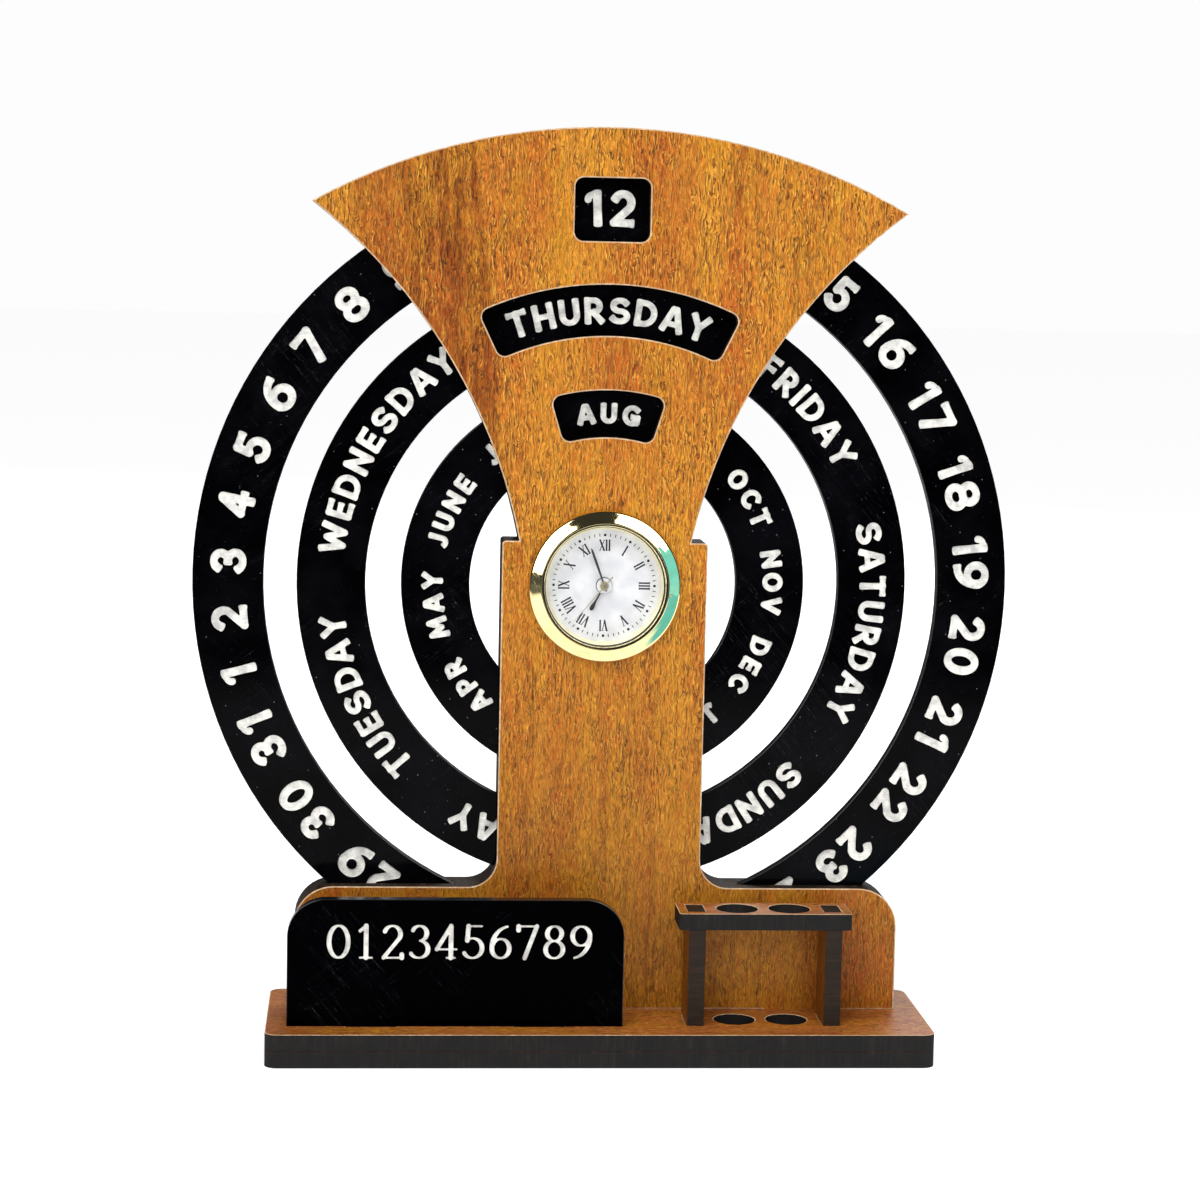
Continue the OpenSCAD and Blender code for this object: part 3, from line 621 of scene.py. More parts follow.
def stepped_in(loop, by):
    """The loop moved to its left by a distance, with mitred corners."""
    moved = []
    for before, here, beyond in zip(loop[-1:] + loop[:-1], loop, loop[1:] + loop[:1]):
        here = Vector(here)
        arriving = (here - Vector(before)).normalized()
        leaving = (Vector(beyond) - here).normalized()
        left_a = Vector((-arriving.y, arriving.x))
        left_b = Vector((-leaving.y, leaving.x))
        reach = max(MITRE_LIMIT, 1 + left_a.dot(left_b))
        moved.append(tuple(here + (left_a + left_b) * (by / reach)))
    return moved


loops, low, high = outline_of("front_panel", 1)
print("front board outlines:", len(loops), "levels", round(low, 2), round(high, 2))

# %% [markdown]
# A face with windows or letters in it can't be one polygon. A constrained triangulation
# keeps every outline as edges of the mesh. Walking from triangle to triangle, and marking
# each outline crossed, then says what is board, what is letter and what is hole.

# %% Fill between outlines
BOARD, LETTER = 1, 2
JOIN = 1e-5


def fill(board_loops, letter_loops=()):
    """Triangulate. Gives each triangle's three point numbers and whether it is letter."""
    points, edges = [], []
    for loop in [*board_loops, *letter_loops]:
        edges.extend(pairs(range(len(points), len(points) + len(loop))))
        points.extend(loop)
    board_count = sum(len(loop) for loop in board_loops)
    found = delaunay_2d_cdt([Vector(p) for p in points], edges, [], 0, JOIN)
    source = [ids[0] if ids else -1 for ids in found[3]]
    kind = {}
    for ends, ids in zip(found[1], found[4]):
        for i in ids:
            kind[frozenset(ends)] = BOARD if i < board_count else LETTER
    sides = {}
    for number, tri in enumerate(found[2]):
        for ends in pairs(tri):
            sides.setdefault(frozenset(ends), []).append(number)
    state, queue = {}, []
    for side, owners in sides.items():
        if len(owners) == 1 and owners[0] not in state:
            state[owners[0]] = kind.get(side, 0) & BOARD
            queue.append(owners[0])
    while queue:
        number = queue.pop()
        for side in map(frozenset, pairs(found[2][number])):
            for other in sides[side]:
                if other not in state:
                    state[other] = state[number] ^ kind.get(side, 0)
                    queue.append(other)
    return [([source[i] for i in found[2][n]], bool(mark & LETTER))
            for n, mark in state.items() if mark & BOARD]


print("triangles of the front board:", len(fill(loops)))

# %% [markdown]
# Every new mesh is built the same way: rows of points, bands of faces between the rows, and
# flat ends. Smooth shading stops at each edge sharper than a given angle, so that a cut edge
# looks cut and a turned one looks round.

# %% Bands and finished meshes
def band(work, lower, upper, look=0):
    """Join two closed rows of points by a band of faces."""
    faces = [work.faces.new((a, b, d, c)) for (a, b), (c, d) in zip(pairs(lower), pairs(upper))]
    for face in faces:
        face.material_index = look
    return faces


def flat(rows):
    """All points of several rows in one list."""
    return [point for row in rows for point in row]


def to_mesh(work, name, looks, sharp=None):
    """A mesh of the work, smooth but for edges sharper than an angle in degrees."""
    bmesh.ops.recalc_face_normals(work, faces=work.faces)
    for face in work.faces:
        face.smooth = bool(sharp)
    mesh = bpy.data.meshes.new(name)
    work.to_mesh(mesh)
    work.free()
    if sharp:
        mesh.set_sharp_from_angle(angle=math.radians(sharp))
    for look in looks:
        mesh.materials.append(FINISH[look])
    return mesh


def piece(mesh, body, slot_name, *replaced):
    """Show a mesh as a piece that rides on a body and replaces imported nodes."""
    made = bpy.data.objects.new(mesh.name, mesh)
    scene.collection.objects.link(made)
    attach(made, body)
    if replaced:
        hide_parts(*replaced)
    print(f"{made.name}: {len(mesh.polygons)} faces, on {body}")


# %% Sheet maker
RIM_SLOPE, SHEET_SHARP = 0.45, 22


def sheet_mesh(name, loops, axis, low, high, rim, looks, letters=(), depth=0.0):
    """A flat sheet as a mesh: faces, walls, two rims, and letters sunk into its low face.
    looks: face, wall, low rim, high rim and letter materials."""
    u, v = PLANE[axis]
    work = bmesh.new()

    def rows_at(loops, level):
        """One row of new points for each loop, at a level."""
        rows = []
        for loop in loops:
            rows.append([])
            for point in loop:
                place = [0.0, 0.0, 0.0]
                place[u], place[v], place[axis] = point[0] * MM, point[1] * MM, level * MM
                rows[-1].append(work.verts.new(place))
        return rows

    inner = [stepped_in(loop, rim) for loop in loops]
    drop = rim * RIM_SLOPE
    levels = ((inner, low), (loops, low + drop), (loops, high - drop), (inner, high))
    rings = [rows_at(*level) for level in levels]
    for number, look in enumerate((2, 1, 3)):
        for lower, upper in zip(rings[number], rings[number + 1]):
            band(work, lower, upper, look)
    top, sunk = rows_at(letters, low), rows_at(letters, low + depth)
    for upper, lower in zip(top, sunk):
        band(work, upper, lower, 4)
    skin, pit, back = flat(rings[0] + top), flat(rings[0] + sunk), flat(rings[3])
    for tri, is_letter in fill(inner, letters):
        source = pit if is_letter else skin
        work.faces.new([source[i] for i in tri]).material_index = 4 if is_letter else 0
    for tri, _ in fill(inner):
        work.faces.new([back[i] for i in tri])
    return to_mesh(work, name, looks, SHEET_SHARP)


# %% Cut the boards
def cut(name, node, body, slot_name, axis, rim, looks, marks=(), depth=0.0):
    """Cut a packed sheet again from its own outline, and show it in its place."""
    loops, low, high = outline_of(node, axis)
    mesh = sheet_mesh(name, loops, axis, low, high, rim, looks, marks, depth)
    piece(mesh, body, slot_name, node)


UPRIGHT, LYING = ("veneer_upright", "charred_edge_y"), ("veneer_flat", "charred_edge_z")
# PALE is a rim slope painted pale as a painted highlight. DARK is a scorched rim.
SHADED_SIDE, PALE, DARK = ("veneer_shaded_side", "charred_edge_x"), "pale_rim_highlight", "scorched_rim"
SPACERS = ("hub_spacer", "inner_track_upper", "inner_track_lower", "outer_track_upper",
           "outer_track_lower", "rim_spacer", "foot_spacer")
BOARDS = {
    "front_panel": (1, 0.30, *UPRIGHT, PALE, DARK),
    "back_panel": (1, 0.16, *UPRIGHT, DARK, PALE),
    **dict.fromkeys(SPACERS, (1, 0.1, *UPRIGHT, DARK, DARK)),
    "base_lower": (2, 0.12, *LYING, DARK, DARK),
    "base_upper": (2, 0.2, *LYING, DARK, PALE),
    "rack_top": (2, 0.2, *LYING, DARK, PALE),
    # The legs take the darker copy of the veneer, which is painted shade.
    "rack_leg_left": (0, 0.14, *SHADED_SIDE, DARK, DARK),
    "rack_leg_right": (0, 0.14, *SHADED_SIDE, DARK, DARK),
}
for node, (axis, rim, *looks) in BOARDS.items():
    cut(node + "_cut", node, "stand", "wood_veneer", axis, rim, looks)

# %% [markdown]
# ## Lettering
# The figures on the rings are bold and rounded, as if drawn with a round marker. A font file
# would add someone's drawing, so a round brush draws them. Each letter is a few strokes, the
# brush swells a little at the ends of a stroke, and the outline is traced round the brushed
# area. Each ring has a brush of its own.

# %% Round brush
def run(*numbers):
    """A stroke of straight lines, from the x and y of its corners."""
    return list(zip(numbers[::2], numbers[1::2]))


def bow(cx, cy, rx, ry, start, end):
    """A stroke along part of an ellipse, by angles in degrees."""
    steps = max(6, int(abs(end - start) / 9))
    turns = [math.radians(start + (end - start) * i / steps) for i in range(steps + 1)]
    return [(cx + rx * math.cos(t), cy + ry * math.sin(t)) for t in turns]


def brushed(stroke, width, gap=0.02):
    """Discs of the brush along a stroke. width(share, direction) gives the radius."""
    lengths = [math.dist(a, b) for a, b in zip(stroke, stroke[1:])]
    total = sum(lengths)
    discs, done = [], 0.0
    for (ax, ay), (bx, by), length in zip(stroke, stroke[1:], lengths):
        steps = max(1, int(length / gap))
        heading = math.atan2(by - ay, bx - ax)
        for i in range(steps + 1):
            share = i / steps
            here = (done + length * share) / total
            discs.append((ax + (bx - ax) * share, ay + (by - ay) * share, width(here, heading)))
        done += length
    return discs


print("points in a full turn:", len(bow(0, 0, 1, 1, 0, 360)))

# %% Trace round the brushed area
def trace(discs, step, keep=2):
    """Outlines of the union of discs, walked cell by cell over a grid of distances."""
    table = np.array(discs)
    low = (table[:, :2] - table[:, 2:]).min(0) - 2 * step
    high = (table[:, :2] + table[:, 2:]).max(0) + 2 * step
    xs = np.arange(low[0], high[0] + step, step)
    ys = np.arange(low[1], high[1] + step, step)
    field = np.full((len(xs), len(ys)), 1e9)
    for x, y, r in discs:
        distance = np.hypot(xs[:, None] - x, ys[None, :] - y) - r
        np.minimum(field, distance, out=field)
    inside = field < 0
    after, place = {}, {}

    def crossing(a, b):
        """Where the outline cuts the grid line from a to b."""
        key = (min(a, b), max(a, b))
        va, vb = field[key[0]], field[key[1]]
        share = va / (va - vb)
        (ai, aj), (bi, bj) = key
        place[key] = (xs[ai] + (xs[bi] - xs[ai]) * share, ys[aj] + (ys[bj] - ys[aj]) * share)
        return key

    full = inside[:-1, :-1].astype(int) + inside[1:, :-1] + inside[1:, 1:] + inside[:-1, 1:]
    for i, j in zip(*np.nonzero((full > 0) & (full < 4))):
        i, j = int(i), int(j)
        turns = []
        for a, b in pairs([(i, j), (i + 1, j), (i + 1, j + 1), (i, j + 1)]):
            if inside[a] != inside[b]:
                turns.append((crossing(a, b), bool(inside[a])))
        for (key, leaving), (next_key, _) in pairs(turns):
            if leaving:
                after[key] = next_key
    loops = []
    for ring in rings_of(after):
        if len(ring) <= 4 * keep:
            continue
        spaced = []
        for point in [place[key] for key in ring][::keep]:
            if not spaced or math.dist(point, spaced[-1]) > 0.4 * step:
                spaced.append(point)
        if math.dist(spaced[0], spaced[-1]) <= 0.4 * step:
            spaced.pop()
        loops.append(spaced)
    return loops


print("points round one disc:", len(trace([(0, 0, 1)], 0.1)[0]))

# %% [markdown]
# Each letter is written on a body 100 high, measured on the middle of the stroke. The table
# gives its width and its strokes. Round letters are bows, and the rest are runs. A stroke that
# begins with a number in square brackets is drawn that much lighter.

# %% Letters and figures
BODY = 100


def bowl(x, cy, rx, ry):
    """The round part of B, D, P and R: out from the stem, round, and back to it."""
    return run(0, cy + ry, x, cy + ry) + bow(x, cy, rx, ry, 90, -90) + run(0, cy - ry)


STEM = run(0, 0, 0, BODY)
STROKES = {
    "0": (66, [bow(33, 50, 33, 50, 0, 360)]),
    "1": (32, [[0.80] + bow(22, 80, 22, 18, 180, 90) + run(32, 98), run(32, 98, 32, 0)]),
    "2": (58, [bow(29, 69, 29, 31, 152, -32) + run(0, 0, 58, 0)]),
    "3": (58, [bow(27, 75.5, 27, 24.5, 155, -90), bow(28, 25.5, 30, 25.5, 90, -150)]),
    "4": (66, [run(66, 27, 0, 27, 42, 100, 48, 100, 48, 0)]),
    "5": (58, [run(54, 100, 10, 100, 7, 55) + bow(27, 31, 31, 31, 118, -150)]),
    "6": (68, [bow(34, 32, 34, 32, 0, 360), bow(60, 35, 59, 65, 185, 90)]),
    "7": (62, [run(0, 100, 62, 100, 22, 0)]),
    "8": (69, [bow(34.5, 75, 30, 25, 0, 360), bow(34.5, 26.5, 34.5, 26.5, 0, 360)]),
    "9": (68, [bow(34, 68, 34, 32, 0, 360), bow(8, 65, 59, 65, 5, -90)]),
    "A": (82, [run(0, 0, 33, 100, 49, 100, 82, 0), run(14, 27, 68, 27)]),
    "B": (62, [STEM, bowl(30, 76, 25, 24), bowl(33, 26, 29, 26)]),
    "C": (72, [bow(43, 50, 43, 50, 48, 312)]),
    "D": (77, [STEM, bowl(28, 50, 49, 50)]),
    "E": (54, [run(54, 100, 0, 100, 0, 0, 54, 0), run(0, 50, 46, 50)]),
    "F": (52, [run(52, 100, 0, 100, 0, 0), run(0, 50, 44, 50)]),
    "G": (84, [bow(45, 50, 45, 50, 50, 312), run(52, 42, 84, 42, 82, 6, 62, 3)]),
    "H": (73, [STEM, run(73, 0, 73, 100), run(0, 50, 73, 50)]),
    "I": (0, [STEM]),
    "J": (42, [run(42, 100, 42, 28) + bow(19, 26, 23, 26, 0, -125)]),
    "L": (50, [run(0, 100, 0, 0, 50, 0)]),
    "M": (98, [run(0, 0, 9, 100, 49, 25, 89, 100, 98, 0)]),
    "N": (73, [run(0, 0, 0, 100, 73, 0, 73, 100)]),
    "O": (86, [bow(43, 50, 43, 50, 0, 360)]),
    "P": (60, [STEM, bowl(28, 70, 32, 30)]),
    "R": (64, [STEM, bowl(28, 71, 31, 29), run(28, 42, 64, 0)]),
    "S": (74, [bow(38, 74.5, 33.5, 25.5, 35, 262) + bow(37, 25, 37, 25, 82, -148)]),
    "T": (72, [run(0, 100, 72, 100), run(36, 100, 36, 0)]),
    "U": (70, [run(0, 100, 0, 35) + bow(35, 35, 35, 35, 180, 360) + run(70, 100)]),
    "V": (76, [run(0, 100, 38, 0, 76, 100)]),
    "W": (118, [run(0, 100, 27, 0, 59, 85, 91, 0, 118, 100)]),
    "Y": (72, [run(0, 100, 36, 48, 72, 100), run(36, 48, 36, 0)]),
}
print("letters in the table:", len(STROKES))

# %% Draw the letters with one brush
LETTER_GRID = 1 / 46


def swell(share, heading):
    """The brush is wider at a stroke's ends, and in upright strokes."""
    return 0.83 + 0.13 * abs(math.sin(heading)) + 0.08 * (2 * share - 1) ** 2


def squared_ends(stroke, brush):
    """Small discs that give an open stroke blunt ends with rounded corners."""
    discs = []
    if math.dist(stroke[0], stroke[-1]) < 0.05:
        return discs
    for end, inner in ((stroke[0], stroke[1]), (stroke[-1], stroke[-2])):
        ahead = (Vector(end) - Vector(inner)).normalized()
        side = Vector((-ahead.y, ahead.x))
        for lean in (-1, -0.5, 0, 0.5, 1):
            spot = Vector(end) + ahead * brush * 0.46 + side * (brush * 0.56 * lean)
            discs.append((spot.x, spot.y, brush * 0.50))
    return discs


def drawn_letters(brush):
    """Every letter's full width and outlines with one brush, for a height of 1."""
    drawn = {}
    body = (1 - 2 * brush) / BODY
    for letter, (width, strokes) in STROKES.items():
        discs = []
        for stroke in strokes:
            light = isinstance(stroke[0], float)
            scaled = [(brush + x * body, brush + y * body) for x, y in stroke[light:]]
            weight = brush * (stroke[0] if light else 1.0)
            discs.extend(brushed(scaled, lambda share, heading: weight * swell(share, heading)))
            if not light:
                discs.extend(squared_ends(scaled, brush))
        drawn[letter] = (width * body + 2 * brush, trace(discs, LETTER_GRID))
    return drawn


# %% [markdown]
# The words run clockwise round a ring with their tops outwards. The gap between them is an
# equal share of what the widths leave of the circle, which is how a maker spaces them.

# %% Words round a ring
def turned_out(loop, angle, radius):
    """Set a loop, drawn about its own middle, at a clock angle with its top out."""
    right = Vector((math.cos(angle), -math.sin(angle)))
    out = Vector((math.sin(angle), math.cos(angle)))
    middle = Vector((HUB_X, HUB_Z)) + out * radius
    return [tuple(middle + right * x + out * y) for x, y in loop]


def words_round(words, letters, radius, height, spacing, least, lag):
    """Outlines of words round the clock, the first one lag millimetres short of the top."""
    spans = [height * (sum(letters[c][0] for c in word) + spacing * (len(word) - 1)) for word in words]
    rooms = [max(span, least) for span in spans]
    gap = (2 * math.pi * radius - sum(rooms)) / len(words)
    loops = []
    mark = -rooms[0] / 2 - lag
    for word, span, room in zip(words, spans, rooms):
        reach = mark + (room - span) / 2
        for letter in word:
            width, shapes = letters[letter]
            angle = (reach + width * height / 2) / radius
            for shape in shapes:
                sized = [((x - width / 2) * height, (y - 0.5) * height) for x, y in shape]
                loops.append(turned_out(sized, angle, radius))
            reach += (width + spacing) * height
        mark += room + gap
    print(f"{len(words)} words, gap {gap:.1f} mm at radius {radius:.1f}")
    return loops


def engrave(node, body, face_look, rim, marks, depth):
    """Cut an acrylic sheet again and sink outlines into its front face."""
    looks = (face_look, *["acrylic_cut_edge"] * 3, "engraved_frost")
    cut(node + "_engraved", node, body, "black_acrylic", 1, rim, looks, marks, depth)


def engraved_ring(node, body, words, brush, height, spacing, radius, least=0.0, lag=0.0):
    """Sink one ring's words into it."""
    marks = words_round(words, drawn_letters(brush), radius, height, spacing, least, lag)
    engrave(node, body, "acrylic_polished", rim=0.12, marks=marks, depth=0.3)


dates = [str(day) for day in (*range(12, 32), *range(1, 12))]
engraved_ring("date_ring", "date_wheel", dates, brush=0.116, height=8.9, spacing=0.22,
              radius=89.8, least=7.2, lag=0.4)
days = "THURSDAY FRIDAY SATURDAY SUNDAY MONDAY TUESDAY WEDNESDAY".split()
engraved_ring("day_ring", "day_wheel", days, brush=0.122, height=6.5, spacing=0.17, radius=65.6)
months = "AUG SEP OCT NOV DEC JAN FEB MAR APR MAY JUNE JULY".split()
engraved_ring("month_ring", "month_wheel", months, brush=0.136, height=5.15, spacing=0.24,
              radius=41.1, lag=-0.5)

# %% [markdown]
# ## Card plate
# The plate carries the plain row 0 to 9 in a seriffed hand. A broad pen makes these figures:
# it is wide where a stroke goes up or down and thin where it goes across, and short level
# strokes make the serifs.

# %% Seriffed figures
SERIF_GRID = 1 / 64
SERIF_ACROSS, SERIF_UP, SERIF_FOOT = 0.0108, 0.0092, 0.04
SERIF = {
    "0": (50, [bow(25, 50, 25, 50, 90, 450)]),
    "1": (36, [run(3, 84, 19, 100, 19, 0), run(3, 0, 35, 0)]),
    "2": (48, [bow(23, 74, 21, 26, 160, -30) + run(0, 0), run(0, 0, 48, 0, 48, 10)]),
    "3": (46, [bow(22, 77, 19, 23, 155, -80), bow(21, 27, 24, 27, 85, -150)]),
    "4": (52, [run(52, 27, 0, 27, 37, 100), run(37, 100, 37, 0), run(26, 0, 48, 0)]),
    "5": (46, [run(44, 100, 9, 100), run(9, 100, 6, 55), bow(20, 31, 25, 31, 125, -150)]),
    "6": (48, [bow(24, 30, 23, 30, 0, 360), bow(50, 34, 49, 66, 185, 100)]),
    "7": (48, [run(0, 88, 0, 100, 48, 100), run(48, 100, 17, 0)]),
    "8": (48, [bow(24, 77, 19, 23, 0, 360), bow(24, 27, 23, 27, 0, 360)]),
    "9": (48, [bow(24, 70, 23, 30, 0, 360), bow(-2, 66, 49, 66, 5, -80)]),
}


def broad_pen(share, heading):
    """Thick down strokes and thin cross strokes."""
    return 0.028 + 0.040 * abs(math.sin(heading)) ** 1.6


def row_of_figures(text, height, pitch, middle_x, middle_z):
    """Outlines of a level row of seriffed figures."""
    loops = []
    for number, figure in enumerate(text):
        width, strokes = SERIF[figure]
        discs = []
        for stroke in strokes:
            sized = [(x * SERIF_ACROSS, SERIF_FOOT + y * SERIF_UP) for x, y in stroke]
            discs.extend(brushed(sized, broad_pen, 0.008))
        left = middle_x + (number - (len(text) - 1) / 2) * pitch
        for shape in trace(discs, SERIF_GRID):
            loops.append([(left + (x - width * SERIF_ACROSS / 2) * height,
                           middle_z + (y - 0.5) * height) for x, y in shape])
    return loops


plate_low, plate_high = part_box("card_plate")
plate_mid = (plate_low.x + plate_high.x) / 2 / MM
figures = row_of_figures("0123456789", height=8.3, pitch=6.35, middle_x=plate_mid + 0.9,
                         middle_z=28.4)
engrave("card_plate", "stand", "acrylic_plate", rim=0.15, marks=figures, depth=0.25)

# %% [markdown]
# ## The clock's own finishes
# The bezel has polished brass-coloured plating, and its curve shows the softboxes as white
# arcs. Under the glass are a cream reflector ring and a silvery dial. The parts behind show
# only from the back or when the clock is pulled out: moulded plastic, a rubber band, brass
# and nylon wheels, a steel cell and a green board.

# %% Metals
def metal_finish(name, colour, stain, rough, rough_stain, pitch, depth):
    """A turned or rolled metal with faint rings and a little staining."""
    spot = new_finish(name)
    rings = use(turned, spot, Pitch=pitch)
    marks = use(hairline, spot, Angle=0.4, Width=0.01)
    tint = mix(times(rings["Stain"], 0.6), srgb(*colour), srgb(*stain))
    gloss = spread(rings["Stain"], 0.0, 1.0, rough, rough_stain)
    worn = plus(gloss, times(marks["Mask"], 0.12))
    close(tint, worn, bumped(rings["Height"], depth, 0.3), Metallic=1.0)


metal_finish("bezel_gold", (250, 236, 178), (244, 222, 150), 0.04, 0.08, 5.0, 0.0003)
metal_finish("wheel_brass", (226, 186, 104), (188, 140, 70), 0.22, 0.36, 14.0, 0.01)
metal_finish("cell_steel", (206, 208, 210), (170, 174, 180), 0.18, 0.32, 12.0, 0.01)
metal_finish("arbor_steel", (190, 186, 176), (150, 140, 120), 0.2, 0.34, 20.0, 0.006)
metal_finish("hand_gold", (200, 190, 156), (166, 152, 116), 0.3, 0.42, 16.0, 0.004)

# %% Plastics, rubber and board
def moulded_finish(name, dark, light, fineness, depth, rough, shine=0.5):
    """Moulded plastic or rubber with its fine texture and a slow change of tone."""
    spot = new_finish(name)
    out = use(moulded, spot, Fineness=fineness)
    specks = use(dust, spot, Spacing=0.9, Amount=0.25)
    tone = mix(out["Tone"], srgb(*dark), srgb(*light))
    dusty = mix(times(specks["Mask"], 0.3), tone, srgb(150, 150, 150))
    gloss = spread(out["Tone"], 0, 1, rough, rough + 0.1)
    close(dusty, gloss, bumped(out["Height"], depth), Specular_IOR_Level=shine)


moulded_finish("case_plastic", (20, 20, 22), (34, 34, 36), 5.0, 0.03, 0.42)
moulded_finish("band_rubber", (26, 26, 27), (44, 43, 42), 3.0, 0.05, 0.68, 0.3)
moulded_finish("wheel_nylon", (226, 222, 206), (240, 238, 228), 4.0, 0.01, 0.38)
moulded_finish("board_green", (18, 74, 44), (30, 98, 58), 2.2, 0.02, 0.34)
# Black paint for the bezel's groove and the reflector's edge: painted shade of the gap between them.
moulded_finish("painted_gap_shade", (20, 20, 20), (34, 34, 33), 9.0, 0.004, 0.4)
moulded_finish("dial_ink", (22, 22, 28), (52, 52, 60), 10.0, 0.002, 0.6, 0.2)
moulded_finish("reflector_cream", (240, 232, 190), (250, 244, 212), 4.0, 0.006, 0.4, 0.15)

# %% Painted hands with a bare boss
def painted_hand(name, bare_tone, bare_reach):
    """Black paint on a hand, with the boss left bare out to a radius in millimetres."""
    spot = new_finish(name)
    out = use(moulded, spot, Fineness=9.0)
    boss = use(turned, spot, Pitch=16.0)
    paint_tone = mix(out["Tone"], srgb(30, 30, 30), srgb(54, 54, 50))
    bare_share = spread(boss["Radius"], bare_reach + 0.12, bare_reach)
    tone = mix(bare_share, paint_tone, bare_tone)
    close(tone, 0.36, bumped(out["Height"], 0.004, 0.4), Metallic=times(bare_share, 0.05))


painted_hand("hour_black", srgb(238, 239, 242), 1.86)
painted_hand("hand_black", srgb(160, 150, 128), 1.1)

# %% Dial and lens
spot = new_finish("dial_silver")
out = use(moulded, spot, Fineness=9.0)
rings = use(turned, spot, Pitch=30.0)
silver = mix(out["Tone"], srgb(218, 219, 224), srgb(236, 237, 240))
close(silver, 0.46, bumped(plus(out["Height"], rings["Height"]), 0.004, 0.4), Metallic=0.0)

spot = new_finish("lens_clear")
lens_tree = spot.id_data
specks = use(dust, spot, Spacing=0.5, Amount=0.10)
marks = use(hairline, spot, Angle=1.1, Width=0.002)
grime = larger(specks["Mask"], marks["Mask"])
tint = mix(times(grime, 0.25), (1, 1, 1, 1), srgb(200, 200, 205))
glass = add("BsdfPrincipled", {"Base Color": tint, "Roughness": times(grime, 0.2), "Metallic": 0.0,
                               "Transmission Weight": 1.0, "IOR": 1.49})[0]
clear = add("BsdfTransparent", {"Color": (0.97, 0.97, 0.97, 1)}, lens_tree)[0]
ray = add("LightPath", tree=lens_tree)
through = mix_shaders(larger(ray["Is Shadow Ray"], ray["Is Diffuse Ray"]), glass, clear)
add("OutputMaterial", {"Surface": through})

# %% [markdown]
# ## Bezel
# The bezel is a turned ring, so one profile is turned about the axle. Polished metal shows
# every facet, so it has more points and twice as many steps round as the imported bezel. A deep
# groove beside the lip is cut, and painted black as painted shade of the gap between the real
# bezel and its lens seat.

# %% Turn a profile
LATHE_SHARP = 32


def lathe_mesh(name, profile, steps, looks, dark):
    """Turn a closed profile of (radius, y) points about the clock's axle. The faces whose
    numbers are in dark take the second look."""
    work = bmesh.new()
    rings = []
    for step in range(steps):
        angle = 2 * math.pi * step / steps
        sine, cosine = math.sin(angle), math.cos(angle)
        rings.append([work.verts.new(((HUB_X + r * sine) * MM, y * MM, (HUB_Z + r * cosine) * MM))
                      for r, y in profile])
    for here, beyond in pairs(rings):
        for number, face in enumerate(band(work, here, beyond)):
            face.material_index = int(number in dark)
    return to_mesh(work, name, looks, LATHE_SHARP)


LIP, CORNER, ROLL = 15.22, 17.45, 0.8
BEZEL_PROUD, ROLL_LEVEL, DISH, BULGE = 2.6, 1.62, 0.35, 0.006
CROWN_STEPS, DISH_STEPS = 12, 8
bezel_front = FRONT_Y - BEZEL_PROUD
crown = []
for i in range(CROWN_STEPS + 1):
    angle = math.radians(90 - 70 * i / CROWN_STEPS)
    level = bezel_front + ROLL_LEVEL - ROLL * math.cos(angle)
    crown.append((CORNER + ROLL * math.sin(angle), level))
shoulder = crown[-1][0]
for i in range(1, DISH_STEPS + 1):
    reach = shoulder - (shoulder - LIP) * i / DISH_STEPS
    bulge = BULGE * min(i, DISH_STEPS - i)
    crown.append((reach, bezel_front + (reach - LIP) * DISH + bulge))
outside = [(15.3, 7.5), (16.6, 7.5), (16.6, 2.5), (18.1, 2.5), (18.25, 2.35)] + crown
inside = [(15.12, 0.02), (15.06, 0.10), (15.04, 0.62), (14.78, 0.62), (14.76, 0.16), (14.70, 0.10),
          (14.60, 0.16), (14.5, 0.5), (14.46, 0.90)]
bezel_profile = outside + [(r, bezel_front + y) for r, y in inside] + [(14.46, 1.1), (15.3, 1.1)]
groove = len(outside) + 1
bezel_mesh = lathe_mesh("bezel_turned", bezel_profile, steps=256,
                        looks=["bezel_gold", "painted_gap_shade"], dark=range(groove, groove + 3))
piece(bezel_mesh, "clock_insert", "gold_bezel", "clock_bezel")

# %% Reflector ring
reflector_profile = [(15.2, 4.6), (15.2, 2.1), (14.5, 2.1), (14.36, 2.25), (14.2, 2.35), (14.12, 2.4),
                     (13.9, 3.0), (13.68, 3.8), (13.58, 4.4), (13.58, 4.6)]
# Its first four faces, the outer wall and the edge in to 14.2 mm, are painted black: painted shade of
# the gap beside the bezel's lip.
reflector_mesh = lathe_mesh("reflector_ring", reflector_profile, steps=192,
                            looks=["reflector_cream", "painted_gap_shade"], dark=range(4))
piece(reflector_mesh, "clock_insert", "ring_dark", "dial_ring")

# %% [markdown]
# ## Dial print
# The hours are Roman, with their tops outwards, and a dot marks each fifth minute. Print has
# almost no thickness, yet a drawing on a flat face would need an image. A film of ink two
# hundredths of a millimetre proud is a clean closed solid and stays sharp from near by.

# %% Roman hours
ROMAN = {
    "I": (0.62, [(0.17, 0, -1.1, 0, 1.1), (0.05, -0.22, 1.12, 0.22, 1.12),
                 (0.05, -0.22, -1.12, 0.22, -1.12)]),
    "V": (1.35, [(0.18, -0.45, 1.1, 0.05, -1.1), (0.08, 0.48, 1.1, 0.05, -1.1),
                 (0.05, -0.68, 1.12, -0.24, 1.12), (0.05, 0.28, 1.12, 0.66, 1.12)]),
    "X": (1.35, [(0.18, -0.45, 1.1, 0.45, -1.1), (0.08, 0.45, 1.1, -0.45, -1.1),
                 (0.05, -0.65, 1.12, -0.25, 1.12), (0.05, -0.65, -1.12, -0.25, -1.12),
                 (0.05, 0.25, 1.12, 0.65, 1.12), (0.05, 0.25, -1.12, 0.65, -1.12)]),
}
INK_GAP = 0.03


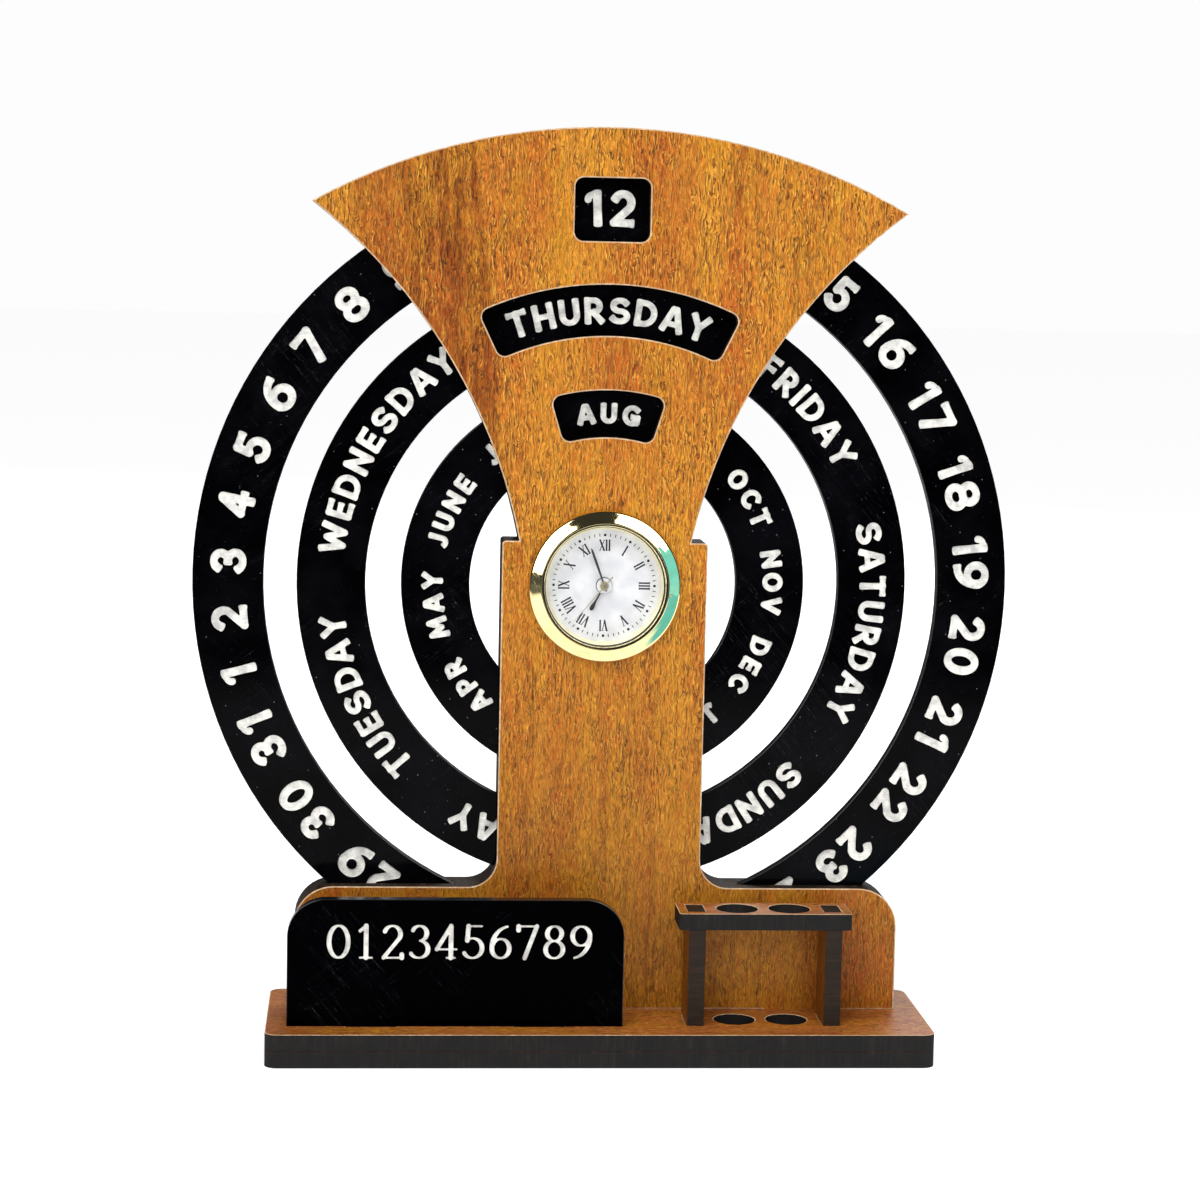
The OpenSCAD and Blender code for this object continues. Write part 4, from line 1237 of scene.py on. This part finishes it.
def numeral(text):
    """Discs of a Roman numeral about its own middle. Strokes are (brush, x, y, x, y)."""
    left = -sum(ROMAN[c][0] for c in text) / 2
    discs = []
    for c in text:
        width, strokes = ROMAN[c]
        for size, *ends in strokes:
            stroke = [(left + width / 2 + x, y) for x, y in run(*ends)]
            discs.extend(brushed(stroke, lambda share, heading: size, INK_GAP))
        left += width
    return discs


HOURS = "XII I II III IV V VI VII VIII IX X XI".split()
NUMERAL_SCALE, NUMERAL_RADIUS, MINUTE_RADIUS = 1.1, 9.7, 12.15
ink_loops = []
for hour, text in enumerate(HOURS):
    for shape in trace(numeral(text), step=0.05, keep=1):
        sized = [(x * NUMERAL_SCALE, y * NUMERAL_SCALE) for x, y in shape]
        ink_loops.append(turned_out(sized, hour * math.pi / 6, NUMERAL_RADIUS))
dot = trace([(0, 0, 0.33)], step=0.06, keep=1)
tick_discs = brushed(run(0, -0.28, 0, 0.28), lambda share, heading: 0.10, INK_GAP)
tick = trace(tick_discs, step=0.035, keep=1)
for minute in range(60):
    for shape in tick if minute % 5 else dot:
        ink_loops.append(turned_out(shape, minute * math.pi / 30, MINUTE_RADIUS))
print("outlines of the print:", len(ink_loops))

# %% Ink on the dial
def ink_mesh(name, loops, front, back, look):
    """A thin closed film between two levels inside the outlines."""
    loops = sorted(loops, key=lambda loop: signed_area(loop) <= 0)
    work = bmesh.new()
    films = []
    for level in (front, back):
        films.append([[work.verts.new((x * MM, level * MM, z * MM)) for x, z in loop] for loop in loops])
    for upper, lower in zip(*films):
        band(work, upper, lower)
    sides = [flat(film) for film in films]
    for tri, _ in fill(loops):
        for side in sides:
            work.faces.new([side[i] for i in tri])
    return to_mesh(work, name, [look])


INK_PROUD, INK_SUNK = 0.02, 0.01
dial_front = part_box("clock_dial")[0].y / MM
print_mesh = ink_mesh("dial_print", ink_loops, dial_front - INK_PROUD, dial_front + INK_SUNK, "dial_ink")
piece(print_mesh, "clock_insert", "hand_black")

# %% [markdown]
# ## Hands
# Small quartz hands are stamped from thin sheet: a boss that grips the arbor, and a blade that
# widens before its tip. The round brush draws that from a list of widths along the hand, and
# the sheet maker gives it its thickness and a broken edge.

# %% Stamp the hands
HAND_GAP, HAND_GRID, HAND_RIM = 0.04, 0.045, 0.02


def hand_outline(widths, boss, angle):
    """Outline of a hand. widths are (distance from the axle, half width) pairs."""
    discs = [(0.0, 0.0, boss)]
    for (a, wide_a), (b, wide_b) in zip(widths, widths[1:]):
        steps = max(2, int(abs(b - a) / HAND_GAP))
        for i in range(steps + 1):
            share = i / steps
            discs.append((0.0, a + (b - a) * share, wide_a + (wide_b - wide_a) * share))
    shapes = trace(discs, HAND_GRID, keep=1)
    loops = [turned_out(shape, math.radians(angle), 0.0) for shape in shapes]
    outline = max(loops, key=lambda loop: abs(signed_area(loop)))
    return outline if signed_area(outline) > 0 else outline[::-1]


def stamp_hand(node, body, slot_name, look, widths, boss, angle):
    """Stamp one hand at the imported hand's own level."""
    low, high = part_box(node)
    outline = hand_outline(widths, boss, angle)
    levels = (low.y / MM, high.y / MM)
    mesh = sheet_mesh(node + "_stamped", [outline], 1, *levels, HAND_RIM, [look] * 5)
    piece(mesh, body, slot_name, node)


stamp_hand("hour_hand", "hour_work", "hand_black", "hour_black",
           run(-1.5, 0.3, 0, 0.25, 1.8, 0.17, 4.4, 0.24, 5.6, 0.5, 6.25, 0.48, 6.7, 0.12),
           boss=1.84, angle=208.3)
stamp_hand("minute_hand", "minute_work", "hand_black", "hand_black",
           run(-1.2, 0.2, 0, 0.22, 1.6, 0.18, 6.0, 0.31, 8.8, 0.25, 9.5, 0.1),
           boss=1.0, angle=339.7)
stamp_hand("second_hand", "second_work", "hand_gold", "hand_gold",
           run(-2.8, 0.17, -1.0, 0.12, 0, 0.12, 6.0, 0.085, 10.8, 0.06),
           boss=0.9, angle=220.0)

# %% [markdown]
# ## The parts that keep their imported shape
# The rest of the movement is right as it was packed and only changes its finish. Each node
# names its record slot through its first material. A table gives the finish for a slot, and
# a slot that isn't in the table has a finish of its own name.

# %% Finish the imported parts
SLOT_FINISH = {
    "lens_glass": "lens_clear", "dial_white": "dial_silver", "black_plastic": "case_plastic",
    "seal_rubber": "band_rubber", "gear_brass": "wheel_brass", "gear_nylon": "wheel_nylon",
    "gold_bezel": "bezel_gold", "ring_dark": "reflector_cream", "wood_veneer": "veneer_upright",
    "black_acrylic": "acrylic_polished",
}
for name, thing in sorted(nodes.items()):
    slot_name = thing.material_slots[0].material.name
    look = SLOT_FINISH.get(slot_name, slot_name)
    for slot in thing.material_slots:
        slot.material = FINISH[look]
    print(name, "->", look)
